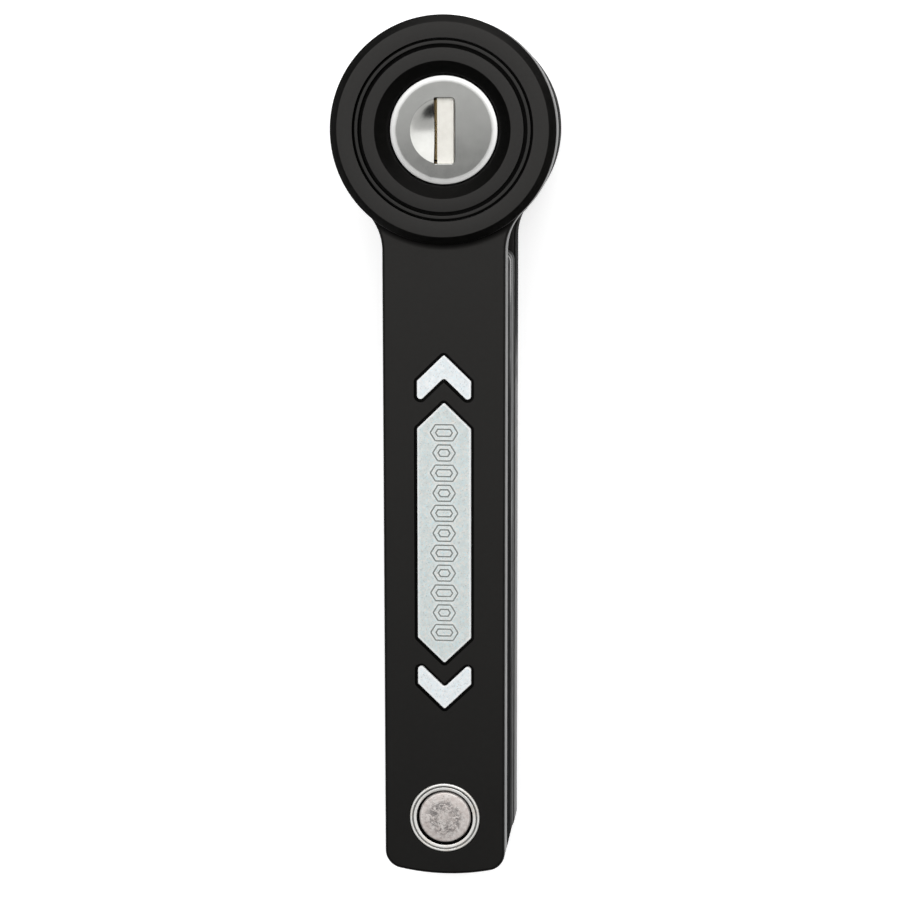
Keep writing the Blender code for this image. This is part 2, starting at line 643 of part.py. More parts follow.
def make_driver_cam(finish):
    """The cam behind the barrel, with a tail that guides the bolt."""
    tail_radius, tail_end = CAM_TAIL
    top = BARREL_BOTTOM - GAP
    section = [(0, tail_end), (tail_radius, tail_end), (tail_radius, CAM_BOTTOM)]
    section += [(CAM_RADIUS, CAM_BOTTOM), (CAM_RADIUS, top), (0, top)]
    turned("driver_cam", section, finish, COARSE, (0.0, HEAD_Y), (0, HEAD_Y, CAM_BOTTOM))


def make_bolt(finish):
    """The locking bolt, hollow for the cam's tail."""
    bore = CAM_TAIL[0] + GAP
    floor = CAM_TAIL[1] - 2 * GAP
    section = [(0, BOLT_BOTTOM), (BOLT_RADIUS - EDGE / 2, BOLT_BOTTOM)]
    section += [(BOLT_RADIUS, BOLT_BOTTOM + EDGE / 2), (BOLT_RADIUS, BOLT_SHOULDER)]
    section += [(BOLT_FLANGE, BOLT_SHOULDER), (BOLT_FLANGE, BOLT_TOP), (bore, BOLT_TOP)]
    section += [(bore, floor), (0, floor)]
    turned("locking_bolt", section, finish, COARSE, (0.0, HEAD_Y), (0, HEAD_Y, BOLT_BOTTOM))


def make_flap(finish):
    """The dust flap in the keyway, with a trunnion at each end of its right edge."""
    half = FLAP_THICKNESS / 2
    section = [(FLAP_LEFT, FLAP_AXIS_Z - half), (FLAP_LEFT, FLAP_AXIS_Z + half)]
    section += arc((FLAP_AXIS_X, FLAP_AXIS_Z), half, 90, -90, 8)
    trunnion = arc((FLAP_AXIS_X, FLAP_AXIS_Z), TRUNNION_RADIUS, 0, 360, 10)[:-1]
    low = HEAD_Y + FLAP_LOW
    high = HEAD_Y + FLAP_HIGH
    origin = (FLAP_AXIS_X, (low + high) / 2, FLAP_AXIS_Z)
    flap = across("keyway_flap", section, low, high, origin)
    flap.data.materials.append(finish)
    pivots = bmesh.new()
    add_across(pivots, trunnion, low - TRUNNION_LENGTH, high + TRUNNION_LENGTH)
    change(flap, "trunnion_join", pivots, "UNION")


def add_across(bm, section, low, high):
    """Adds a solid of an (x, z) section that runs along Y from low to high."""
    ends = [[bm.verts.new((x, y, z)) for x, z in section] for y in (low, high)]
    for i in range(len(section)):
        j = (i + 1) % len(section)
        bm.faces.new((ends[0][i], ends[0][j], ends[1][j], ends[1][i]))
    bm.faces.new(ends[0])
    bm.faces.new(list(reversed(ends[1])))


def across(name, section, low, high, origin):
    """A named piece of an (x, z) section that runs along Y."""
    bm = bmesh.new()
    add_across(bm, section, low, high)
    return add_object(name, bm, origin)


def make_flap_spring(finish):
    """The leaf spring that holds the flap shut from behind."""
    thickness = 0.2 * MM
    high = FLAP_AXIS_Z - FLAP_THICKNESS / 2 - GAP
    upper = [(0.4 * MM, high), (2.8 * MM, high - GAP), (4.5 * MM, high - GAP / 2), (8.5 * MM, high)]
    lower = [(x, z - thickness) for x, z in reversed(upper)]
    half = 1.6 * MM
    spring = across("flap_spring", upper + lower, HEAD_Y - half, HEAD_Y + half, (0, HEAD_Y, high))
    spring.data.materials.append(finish)


def main():
    for old in list(bpy.data.objects):
        bpy.data.objects.remove(old)
    casing = material("casing_dark", (0.030, 0.029, 0.028), 0.45, 0.0)
    cap_dark = material("cap_dark", (0.035, 0.034, 0.034), 0.38, 0.0)
    link_finish = material("link_coating", (0.05, 0.05, 0.052), 0.40, 0.0)
    steel = material("hardened_steel", (0.42, 0.42, 0.43), 0.35, 1.0)
    zinc = material("zinc_steel", (0.55, 0.55, 0.54), 0.40, 1.0)
    chrome = material("plug_chrome", (0.80, 0.80, 0.80), 0.12, 1.0)
    brass = material("disc_brass", (0.75, 0.58, 0.30), 0.30, 1.0)
    pale = material("inlay_pale", (0.85, 0.87, 0.90), 0.40, 0.0)
    silver = material("plaque_silver", (0.70, 0.70, 0.71), 0.45, 0.6)
    cream = material("flap_cream", (0.83, 0.79, 0.70), 0.45, 0.0)
    polymer = material("washer_polymer", (0.20, 0.20, 0.20), 0.50, 0.0)

    make_front_casing(casing)
    make_front_core(steel)
    make_inlays(pale, silver)
    make_head_trim(cap_dark, zinc)
    make_lock_body(steel)
    make_back_plate(zinc, steel)
    make_cylinder_shell(zinc)
    make_plug_face(chrome)
    make_plug_barrel(brass)
    make_discs(brass)
    make_sidebar(steel)
    make_driver_cam(zinc)
    make_bolt(steel)
    make_flap(cream)
    make_flap_spring(zinc)
    for number in LINK_BOTTOMS:
        make_link(number, link_finish)
    make_pivots(zinc, polymer, chrome)
    make_rear_casing(casing)
    make_rear_core(steel)
    make_eye_bushing(zinc)


main()
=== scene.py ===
"""The folding lock's looks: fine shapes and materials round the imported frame.

Everything is in metres in the frame's own axes: +Z out of the front face, +Y towards the round
head, +X to the right. The lock lies folded on its back on a pale floor.
"""

import json
import math

import bmesh
import bpy
from mathutils import Matrix, Vector


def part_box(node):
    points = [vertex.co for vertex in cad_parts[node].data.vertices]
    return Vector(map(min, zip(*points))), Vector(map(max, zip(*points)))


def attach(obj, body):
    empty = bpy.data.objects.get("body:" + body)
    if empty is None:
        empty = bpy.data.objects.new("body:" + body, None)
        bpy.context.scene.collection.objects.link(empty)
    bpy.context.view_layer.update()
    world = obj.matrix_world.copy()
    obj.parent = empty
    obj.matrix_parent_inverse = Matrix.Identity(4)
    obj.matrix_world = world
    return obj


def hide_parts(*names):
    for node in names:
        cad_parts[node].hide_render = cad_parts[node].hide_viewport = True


MM = 0.001
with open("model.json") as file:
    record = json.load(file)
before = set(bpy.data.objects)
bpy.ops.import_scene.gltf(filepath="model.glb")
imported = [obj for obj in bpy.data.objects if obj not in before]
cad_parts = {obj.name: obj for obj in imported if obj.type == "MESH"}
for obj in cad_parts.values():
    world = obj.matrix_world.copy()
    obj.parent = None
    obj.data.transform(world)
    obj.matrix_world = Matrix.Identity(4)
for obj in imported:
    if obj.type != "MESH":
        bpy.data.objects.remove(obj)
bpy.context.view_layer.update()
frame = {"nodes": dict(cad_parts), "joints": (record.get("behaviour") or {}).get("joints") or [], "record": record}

# Places read from the frame
JOINTS = {joint["name"]: joint for joint in frame["joints"]}
BODIES = frame["record"]["behaviour"]["bodies"]
BODY_OF = {member: body for body, members in BODIES.items() for member in members}

FRONT_LOW, FRONT_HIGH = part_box("front_bar_casing")
REAR_LOW, REAR_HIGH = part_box("rear_bar_casing")
CORE_LOW, CORE_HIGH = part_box("front_bar_core")
REAR_CORE_LOW, REAR_CORE_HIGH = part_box("rear_bar_core")
CAP_LOW, CAP_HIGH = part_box("head_cap")
PLUG_LOW, PLUG_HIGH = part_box("plug_face")
DRUM_LOW, DRUM_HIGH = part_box("lock_body")
LINK_LOW, LINK_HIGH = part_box("link_2")

HEAD_Y = (CAP_LOW.y + CAP_HIGH.y) / 2
HEAD_RADIUS = (CAP_HIGH.x - CAP_LOW.x) / 2
REAR_HEAD_RADIUS = (REAR_HIGH.x - REAR_LOW.x) / 2
HALF_WIDTH = (LINK_HIGH.x - LINK_LOW.x) / 2
BAR_END = FRONT_LOW.y
BOTTOM_Y = JOINTS["rivet_1_swing"]["pos_m"][1]
TOP_Y = JOINTS["rivet_2_swing"]["pos_m"][1]
LOWER_RIVET = (0.0, BOTTOM_Y)
FACE = FRONT_HIGH.z
CAP_TOP = CAP_HIGH.z
BAR_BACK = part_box("link_2")[1].z + 0.3 * MM
PLUG_TOP = PLUG_HIGH.z
PLUG_RADIUS = (PLUG_HIGH.x - PLUG_LOW.x) / 2

# Fine dimensions
NECK_RADIUS = 12.0 * MM
CORNER_RADIUS = 4.2 * MM
LINK_CORNER_RADIUS = 2.6 * MM
BOW_RADIUS = 50.0 * MM
CASING_HALF_WIDTH = HALF_WIDTH + 0.17 * MM
CASING_END = BAR_END - 0.3 * MM
CASING_ROUND = 0.7 * MM
LINK_ROUND = 0.55 * MM
CASING_WALL = 2.25 * MM
REAR_CORNER_RADIUS = 2.8 * MM
CORE_GAP = 0.3 * MM
CORE_EDGE = 0.25 * MM
BORE_RADIUS = (DRUM_HIGH.x - DRUM_LOW.x) / 2 + 0.25 * MM
INLAY_SLOPE = math.radians(44)
INLAY_HALF_WIDTH = 6.0 * MM
INLAY_BORDER = 0.62 * MM
INLAY_ROUND = 0.16 * MM
RECESS_DEPTH = 1.3 * MM
RING_SEAT_DEPTH = 1.6 * MM
RIVET_HOLE = 4.3 * MM
RIVET_BORE = 6.15 * MM
RIVET_BORE_DEPTH = 1.9 * MM
WASHER_SEAT = 9.6 * MM
WASHER_SEAT_DEPTH = 0.9 * MM
SMALLEST_ROUND = 0.03 * MM
FLARE = 0.07 * MM
COAT_GRAIN = 0.006 * MM
COAT_TINT = (1.0, 0.975, 0.94, 1.0)

# Engraved row on the plaque
ENGRAVED_LINKS = 11
ENGRAVED_FROM = 66.4 * MM
ENGRAVED_PITCH = 4.52 * MM
ENGRAVED_LINE = 0.31 * MM
ENGRAVED_DEPTH = 0.12 * MM

# Studio: each panel is (name, from and to across the lock, from and to along it, radiance)
FLOOR_HALF_SIDE = 3.0
FLOOR_GLOW = 0.55
WORLD_LIGHT = 0.015
PANEL_PIVOT = Vector((-0.15, 0.03, 1.4))
PANEL_TURN = math.radians(2)
PANELS = [("near_panel", -0.75, 1.45, 0.0, 1.6, 2.6), ("dim_panel", -0.75, 1.45, -0.6, 0.0, 1.15),
          ("far_panel", -1.0, 1.8, 1.6, 3.8, 1.9)]
CAMERA_LENS = 93.76
CAMERA_SENSOR = 36.0
CAMERA_DISTANCE = 519 * MM
CAMERA_RIGHT = Vector((0.9948, -0.0017, -0.1012))
CAMERA_UP = Vector((-0.0129, 0.9895, -0.1457))
CAMERA_AIM = Vector((1.35 * MM, HEAD_Y - 70.2 * MM, FACE))


# ---------------------------------------------------------------- outlines


def arc(centre, radius, start, end, steps):
    """Points on an arc between two angles in degrees, both ends included."""
    angles = [math.radians(start + (end - start) * i / steps) for i in range(steps + 1)]
    return [(centre[0] + radius * math.cos(a), centre[1] + radius * math.sin(a)) for a in angles]


def run(start, end, steps):
    """Evenly spaced points between two points, both left out."""
    shares = [i / steps for i in range(1, steps)]
    return [(start[0] + (end[0] - start[0]) * t, start[1] + (end[1] - start[1]) * t) for t in shares]


def lower_end(inset, half_width, end, corner):
    """A bar's bowed lower end with its rounded corners, from the left side to the right side."""
    side = half_width - corner
    bow_y = end + BOW_RADIUS
    rise = math.sqrt((BOW_RADIUS - corner) ** 2 - side**2)
    tilt = math.degrees(math.atan2(side, rise))
    left = arc((-side, bow_y - rise), corner - inset, 180, 270 - tilt, 14)
    bow = arc((0, bow_y), BOW_RADIUS - inset, 270 - tilt, 270 + tilt, 16)
    right = arc((side, bow_y - rise), corner - inset, 270 + tilt, 360, 14)
    return left + bow[1:-1] + right


def head_end(radius, inset, half_width):
    """The neck fillets and the round head, from the right side to the left side."""
    across = half_width + NECK_RADIUS
    drop = math.sqrt((radius + NECK_RADIUS) ** 2 - across**2)
    lean = math.degrees(math.atan2(drop, across))
    neck_y = HEAD_Y - drop
    right = arc((across, neck_y), NECK_RADIUS + inset, 180, 180 - lean, 16)
    head = arc((0, HEAD_Y), radius - inset, -lean, 180 + lean, 136)
    left = arc((-across, neck_y), NECK_RADIUS + inset, lean, 0, 16)
    return right + head[1:-1] + left


def headed_outline(radius, corner=CORNER_RADIUS):
    """A function that gives the outline of a bar with a round head, moved inwards by inset."""

    def outline(inset):
        low = lower_end(inset, CASING_HALF_WIDTH, CASING_END, corner)
        high = head_end(radius, inset, CASING_HALF_WIDTH)
        return low + run(low[-1], high[0], 12) + high + run(high[-1], low[0], 12)

    return outline


def link_outline(inset):
    """Outline of a link, whose two ends are alike, moved inwards by inset."""
    low = lower_end(inset, HALF_WIDTH, BAR_END, LINK_CORNER_RADIUS)
    high = [(-x, TOP_Y + BOTTOM_Y - y) for x, y in low]
    return low + run(low[-1], high[0], 12) + high + run(high[-1], low[0], 12)


def corner_arc(before, here, after, radius, steps):
    """The points of the arc that rounds the corner at here, between its two neighbours."""
    here = Vector(here)
    back = (Vector(before) - here).normalized()
    ahead = (Vector(after) - here).normalized()
    half = back.angle(ahead) / 2
    reach = radius / math.tan(half)
    centre = here + (back + ahead).normalized() * (radius / math.sin(half))
    first = here + back * reach - centre
    last = here + ahead * reach - centre
    spokes = [first.lerp(last, step / steps).normalized() * radius for step in range(steps + 1)]
    return [tuple(centre + spoke) for spoke in spokes]


def round_corners(points, radii, inset=0.0, steps=8):
    """A polygon with each corner replaced by an arc; the arcs of an inset polygon keep their centres."""
    rounded = []
    for i, here in enumerate(points):
        before, after = points[i - 1], points[(i + 1) % len(points)]
        outward = (Vector(before) - Vector(here)).cross(Vector(after) - Vector(here)) < 0
        radius = max(SMALLEST_ROUND, radii[i % len(radii)] + (-inset if outward else inset))
        rounded += corner_arc(before, here, after, radius, steps)
    return rounded


def rounded_section(points, radii, steps=5):
    """A closed (radius, height) section with rounded corners; a radius of 0 keeps the corner."""
    rounded = []
    for i, here in enumerate(points):
        if radii[i] == 0:
            rounded.append(tuple(here))
        else:
            rounded += corner_arc(points[i - 1], here, points[(i + 1) % len(points)], radii[i], steps)
    return rounded


def rectangle(low, high, corner):
    """A function that gives a rectangle between two corners in (x, y), moved inwards by inset."""

    def outline(inset):
        left, right, near, far = low[0] + inset, high[0] - inset, low[1] + inset, high[1] - inset
        return round_corners([(left, near), (right, near), (right, far), (left, far)], [corner], inset)

    return outline


def chevron_outline(tip_down, apex_down):
    """A function that gives a chevron's outline; both arguments are distances below the head's middle."""
    way = 1 if tip_down < apex_down else -1
    slope = math.tan(INLAY_SLOPE)

    def outline(inset):
        half = INLAY_HALF_WIDTH - inset
        slant = inset / math.cos(INLAY_SLOPE)
        outer = HEAD_Y - tip_down - way * slant
        inner = HEAD_Y - apex_down + way * slant
        corners = [(0, outer), (-half, outer - way * half * slope), (-half, inner - way * half * slope)]
        corners += [(0, inner), (half, inner - way * half * slope), (half, outer - way * half * slope)]
        radii = [0.4 * MM, 0.55 * MM, 0.75 * MM, 0.7 * MM, 0.75 * MM, 0.55 * MM]
        if way < 0:
            corners.reverse()
            radii.reverse()
        return round_corners(corners, radii, inset)

    return outline


def plaque_outline(top_down, bottom_down):
    """A function that gives the outline of the long hexagon, moved inwards by inset."""
    slope = math.tan(INLAY_SLOPE)

    def outline(inset):
        half = INLAY_HALF_WIDTH - inset
        slant = inset / math.cos(INLAY_SLOPE)
        top = HEAD_Y - top_down - slant
        bottom = HEAD_Y - bottom_down + slant
        corners = [(0, top), (-half, top - half * slope), (-half, bottom + half * slope)]
        corners += [(0, bottom), (half, bottom + half * slope), (half, top - half * slope)]
        return round_corners(corners, [0.35 * MM, 0.55 * MM, 0.55 * MM], inset)

    return outline


UPPER_CHEVRON = chevron_outline(49.1 * MM, 54.2 * MM)
PLAQUE = plaque_outline(59.7 * MM, 118.6 * MM)
LOWER_CHEVRON = chevron_outline(129.2 * MM, 124.2 * MM)


# ---------------------------------------------------------------- mesh building


def add_band(bm, one, other):
    """Adds the quads between two loops that have as many points as each other."""
    for i in range(len(one)):
        j = (i + 1) % len(one)
        bm.faces.new((one[i], one[j], other[j], other[i]))


def add_skin(bm, loops):
    """Adds a closed solid through loops that follow one another, flat at both ends."""
    for low, high in zip(loops, loops[1:]):
        add_band(bm, low, high)
    bm.faces.new(list(reversed(loops[0])))
    bm.faces.new(loops[-1])


def add_sweep(bm, outline, profile):
    """Adds a closed solid: the outline follows profile's (inset, height) points, flat at both ends."""
    add_skin(bm, [[bm.verts.new((x, y, z)) for x, y in outline(inset)] for inset, z in profile])


def add_turned(bm, profile, segments=192, centre=None):
    """Adds a solid turned about a vertical axis from its closed section of (radius, height) points."""
    cx, cy = centre or (0.0, HEAD_Y)
    rings = []
    for radius, height in profile:
        if radius == 0:
            rings.append([bm.verts.new((cx, cy, height))] * segments)
        else:
            ring = arc((cx, cy), radius, 0, 360, segments)[:-1]
            rings.append([bm.verts.new((x, y, height)) for x, y in ring])
    for one, other in zip(rings, rings[1:] + rings[:1]):
        for i in range(segments):
            j = (i + 1) % segments
            corners = list(dict.fromkeys((one[i], one[j], other[j], other[i])))
            if len(corners) > 2:
                bm.faces.new(corners)


def add_rod(bm, radius, low, high, segments=192, centre=None):
    """Adds an upright rod."""
    add_turned(bm, [(0, low), (radius, low), (radius, high), (0, high)], segments, centre)


def add_ring_prism(bm, outer, inner, low, high):
    """Adds a closed ring between two outlines that have as many points as each other."""
    loops = []
    for points, z in ((outer, low), (outer, high), (inner, high), (inner, low)):
        loops.append([bm.verts.new((x, y, z)) for x, y in points])
    for one, other in zip(loops, loops[1:] + loops[:1]):
        add_band(bm, one, other)


def shade(mesh):
    """Smooth shading with sharp edges; large flat ends are shaded flat."""
    mesh.shade_smooth()
    mesh.set_sharp_from_angle(angle=math.radians(28))
    for polygon in mesh.polygons:
        polygon.use_smooth = len(polygon.vertices) <= 4


def finish_mesh(name, bm, looks=()):
    """An object of the mesh, with its materials."""
    bmesh.ops.recalc_face_normals(bm, faces=bm.faces)
    mesh = bpy.data.meshes.new(name)
    bm.to_mesh(mesh)
    bm.free()
    shade(mesh)
    for look in looks:
        mesh.materials.append(look)
    made = bpy.data.objects.new(name, mesh)
    bpy.context.scene.collection.objects.link(made)
    return made


def carve(target, tool, operation="DIFFERENCE", finish=0):
    """Cuts the solids of the bmesh tool out of target, or joins them to it. The cut faces get a finish."""
    cutter = finish_mesh("carving_tool", tool, target.data.materials)
    for polygon in cutter.data.polygons:
        polygon.material_index = finish
    boolean = target.modifiers.new("carve", "BOOLEAN")
    boolean.operation = operation
    boolean.solver = "EXACT"
    boolean.object = cutter
    bpy.context.view_layer.update()
    evaluated = target.evaluated_get(bpy.context.evaluated_depsgraph_get())
    carved = bpy.data.meshes.new_from_object(evaluated)
    target.modifiers.clear()
    old = target.data
    target.data = carved
    bpy.data.meshes.remove(old)
    bpy.data.objects.remove(cutter)
    shade(carved)


def finish_sides(piece, finish, limit=0.8):
    """Gives the faces that look sideways another finish."""
    for polygon in piece.data.polygons:
        if abs(polygon.normal.z) < limit:
            polygon.material_index = finish


def place(piece, node):
    """The piece stands for a node: it rides on the node's body, and the node is hidden."""
    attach(piece, BODY_OF[node])
    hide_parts(node)


def swept_piece(name, outline, profile, node, look):
    """A swept piece that stands for a node."""
    bm = bmesh.new()
    add_sweep(bm, outline, profile)
    place(finish_mesh(name, bm, [look]), node)


def turned_piece(name, profile, node, looks, segments=192, centre=None, pick=None):
    """A turned piece that stands for a node.

    pick gives a face's finish from the distance of its middle to the axis and how much it faces up.
    """
    bm = bmesh.new()
    add_turned(bm, profile, segments, centre)
    made = finish_mesh(name, bm, looks if isinstance(looks, list) else [looks])
    if pick:
        cx, cy = centre or (0.0, HEAD_Y)
        for polygon in made.data.polygons:
            middle = polygon.center
            polygon.material_index = pick(math.hypot(middle.x - cx, middle.y - cy), polygon.normal.z)
    place(made, node)


# ---------------------------------------------------------------- materials


class Nodes:
    """A material's node tree with short calls for what the materials here share."""

    def __init__(self, name):
        self.material = bpy.data.materials.new(name)
        self.material.use_nodes = True
        self.tree = self.material.node_tree
        self.shader = self.tree.nodes["Principled BSDF"]
        self.place = self.add("ShaderNodeTexCoord").outputs["Object"]

    def add(self, kind, **settings):
        node = self.tree.nodes.new(kind)
        for key, value in settings.items():
            setattr(node, key, value)
        return node

    def link(self, output, target):
        self.tree.links.new(output, target)

    def scaled(self, scale, shift=(0, 0, 0)):
        """The object's coordinates, stretched and moved."""
        node = self.add("ShaderNodeMapping")
        node.inputs["Scale"].default_value = scale
        node.inputs["Location"].default_value = shift
        self.link(self.place, node.inputs["Vector"])
        return node.outputs["Vector"]

    def around(self, centre):
        """The object's coordinates, measured from an upright axis."""
        return self.scaled((1, 1, 1), shift=(-centre[0], -centre[1], 0))

    def parts(self, vector=None):
        """A vector's three parts."""
        node = self.add("ShaderNodeSeparateXYZ")
        self.link(vector or self.place, node.inputs[0])
        return node.outputs

    def radius(self, parts):
        """Distance from the upright axis through the origin, from a vector's parts."""
        squares = [self.combine("POWER", part, 2.0) for part in parts[:2]]
        return self.combine("SQRT", self.combine("ADD", *squares))

    def join(self, *parts):
        """A vector of up to three values."""
        node = self.add("ShaderNodeCombineXYZ")
        for part, socket in zip(parts, node.inputs):
            self.link(part, socket)
        return node.outputs[0]

    def noise(self, scale, detail=3.0, roughness=0.55, vector=None, distortion=0.0, output="Fac"):
        """Noise from 0 to 1, with scale in features per metre."""
        node = self.add("ShaderNodeTexNoise")
        node.inputs["Scale"].default_value = scale
        node.inputs["Detail"].default_value = detail
        node.inputs["Roughness"].default_value = roughness
        node.inputs["Distortion"].default_value = distortion
        self.link(vector or self.place, node.inputs["Vector"])
        return node.outputs[output]

    def cells(self, scale):
        """The three parts of a random colour for each Voronoi cell."""
        node = self.add("ShaderNodeTexVoronoi")
        node.inputs["Scale"].default_value = scale
        self.link(self.place, node.inputs["Vector"])
        split = self.add("ShaderNodeSeparateColor")
        self.link(node.outputs["Color"], split.inputs[0])
        return split.outputs

    def spread(self, value, low, high, new_low=0.0, new_high=1.0):
        """Maps low..high to new_low..new_high, clamped."""
        node = self.add("ShaderNodeMapRange")
        node.inputs["From Min"].default_value = low
        node.inputs["From Max"].default_value = high
        node.inputs["To Min"].default_value = new_low
        node.inputs["To Max"].default_value = new_high
        self.link(value, node.inputs["Value"])
        return node.outputs["Result"]

    def combine(self, operation, one, other=0.0):
        """A Math node of one or two values, each an output or a number."""
        node = self.add("ShaderNodeMath", operation=operation)
        for socket, value in zip(node.inputs, (one, other)):
            if isinstance(value, (int, float)):
                socket.default_value = value
            else:
                self.link(value, socket)
        return node.outputs[0]

    def weigh(self, one, one_weight, other, other_weight):
        """A weighted sum of two values."""
        return self.combine("ADD", self.combine("MULTIPLY", one, one_weight),
                            self.combine("MULTIPLY", other, other_weight))

    def fade(self, share, one, other):
        """A value that goes from one to the number other as share goes from 0 to 1."""
        kept = self.combine("MULTIPLY", one, self.combine("SUBTRACT", 1.0, share))
        return self.combine("ADD", kept, self.combine("MULTIPLY", share, other))

    def blend(self, factor, one, other):
        """A mix of two colours, each an output or a colour, by an output."""
        node = self.add("ShaderNodeMix", data_type="RGBA")
        self.link(factor, node.inputs["Factor"])
        for socket, value in ((node.inputs[6], one), (node.inputs[7], other)):
            if isinstance(value, tuple):
                socket.default_value = (*value, 1)
            else:
                self.link(value, socket)
        return node.outputs[2]

    def bump(self, height, distance, strength=1.0, below=None):
        """A bump whose full height is distance metres."""
        node = self.add("ShaderNodeBump")
        node.inputs["Distance"].default_value = distance
        node.inputs["Strength"].default_value = strength
        self.link(height, node.inputs["Height"])
        if below is not None:
            self.link(below, node.inputs["Normal"])
        return node.outputs["Normal"]

    def edges(self, radius, low=0.02, high=0.25):
        """From 0 on flat stretches to 1 at edges that would be rubbed."""
        bevel = self.add("ShaderNodeBevel", samples=4)
        bevel.inputs["Radius"].default_value = radius
        geometry = self.add("ShaderNodeNewGeometry")
        dot = self.add("ShaderNodeVectorMath", operation="DOT_PRODUCT")
        self.link(bevel.outputs["Normal"], dot.inputs[0])
        self.link(geometry.outputs["Normal"], dot.inputs[1])
        away = self.combine("SUBTRACT", 1.0, dot.outputs["Value"])
        return self.spread(away, low, high)

    def set(self, **values):
        """Sets or links the shader's sockets; underscores stand for spaces."""
        for key, value in values.items():
            socket = self.shader.inputs[key.replace("_", " ")]
            if hasattr(value, "is_linked"):
                self.link(value, socket)
            elif isinstance(value, tuple):
                socket.default_value = (*value, 1) if len(value) == 3 else value
            else:
                socket.default_value = value
        return self.material


def satin_coat(name, dark, light, low_rough, high_rough, specular=0.3, rubbed=None, dull=None):
    """A satin coat: fine grain, slow cloudiness and edges that are a little polished.

    rubbed is (y where the rubbing starts, y where it is full, roughness there). dull is (distance from the
    head's axis where the coat is quite dull, distance where it is as elsewhere).
    """
    n = Nodes(name)
    cloud = n.noise(70, 4.0)
    mottle = n.noise(620, 3.0)
    fine = n.noise(5200, 2.0)
    orange = n.noise(1500, 2.0)
    worn = n.combine("MULTIPLY", n.edges(0.5 * MM), n.spread(n.noise(420, 4.0), 0.45, 0.7))
    shade = n.weigh(cloud, 0.55, mottle, 0.45)
    colour = n.blend(n.spread(shade, 0.38, 0.62), dark, light)
    colour = n.blend(n.combine("MULTIPLY", worn, 0.35), colour, tuple(min(1, c * 4) for c in light))
    rough = n.spread(n.weigh(shade, 0.6, orange, 0.4), 0.38, 0.62, low_rough, high_rough)
    if rubbed:
        ragged = n.combine("ADD", n.parts()[1], n.spread(n.noise(120, 3.0), 0.3, 0.7, -8 * MM, 8 * MM))
        rough = n.fade(n.spread(ragged, rubbed[0], rubbed[1]), rough, rubbed[2])
    rough = n.combine("SUBTRACT", rough, n.combine("MULTIPLY", worn, 0.08))
    normal = n.bump(orange, COAT_GRAIN, 1.0, n.bump(fine, COAT_GRAIN * 0.6))
    if dull:
        radius = n.radius(n.parts(n.around((0.0, HEAD_Y))))
        dullness = n.combine("POWER", n.spread(radius, dull[0], dull[1], 1.0, 0.0), 0.5)
        rough = n.combine("MAXIMUM", rough, dullness)
    n.shader.inputs["Specular Tint"].default_value = COAT_TINT
    return n.set(Base_Color=colour, Roughness=rough, Normal=normal, Specular_IOR_Level=specular)


def turned_steel(name, colour, rough, scratch=0.002 * MM, centre=None, tint=None, rim_highlight=None, metallic=1.0):
    """Machined metal with fine turning marks round an axis, and faint stains.

    rim_highlight is (radius where the painted highlight ring starts, radius where it is full, colour, roughness):
    a lighter colour that stands for the highlight on a rounded edge.
    """
    n = Nodes(name)
    parts = n.parts(n.around(centre or (0.0, HEAD_Y)))
    radius = n.radius(parts)
    rings = n.noise(9000, 2.0, vector=n.join(radius, parts[2]))
    stain = n.noise(260, 4.0)
    speck = n.noise(2400, 3.0)
    shade = n.blend(n.spread(stain, 0.3, 0.7), tuple(c * 0.86 for c in colour), colour)
    if tint:
        shade = n.blend(n.spread(n.noise(420, 3.0), 0.5, 0.75, 0.0, 0.5), shade, tint)
    roughness = n.spread(n.weigh(stain, 0.7, speck, 0.3), 0.3, 0.7, rough * 0.85, rough * 1.2)
    # painted highlight: a lighter colour in a ring near the edge
    if rim_highlight:
        ragged = n.combine("ADD", radius, n.spread(stain, 0.3, 0.7, -0.08 * MM, 0.08 * MM))
        share = n.spread(ragged, rim_highlight[0], rim_highlight[1])
        shade = n.blend(share, shade, rim_highlight[2])
        roughness = n.fade(share, roughness, rim_highlight[3])
    normal = n.bump(rings, scratch, 1.0, n.bump(speck, scratch))
    return n.set(Base_Color=shade, Roughness=roughness, Metallic=metallic, Normal=normal)


def brushed_steel(name, colour, rough, along=(1, 0.02, 1)):
    """Ground steel with fine lines along one axis, and a few darker stains."""
    n = Nodes(name)
    lines = n.noise(7000, 2.0, vector=n.scaled(along))
    stain = n.noise(160, 5.0, 0.6)
    speck = n.noise(1800, 3.0)
    shade = n.blend(n.spread(stain, 0.35, 0.7), tuple(c * 0.6 for c in colour), colour)
    shade = n.blend(n.combine("MULTIPLY", n.spread(speck, 0.62, 0.75), 0.5), shade, (0.10, 0.06, 0.035))
    roughness = n.spread(n.weigh(stain, 0.6, lines, 0.4), 0.3, 0.7, rough * 0.8, rough * 1.3)
    normal = n.bump(lines, 0.003 * MM)
    return n.set(Base_Color=shade, Roughness=roughness, Metallic=1.0, Normal=normal)


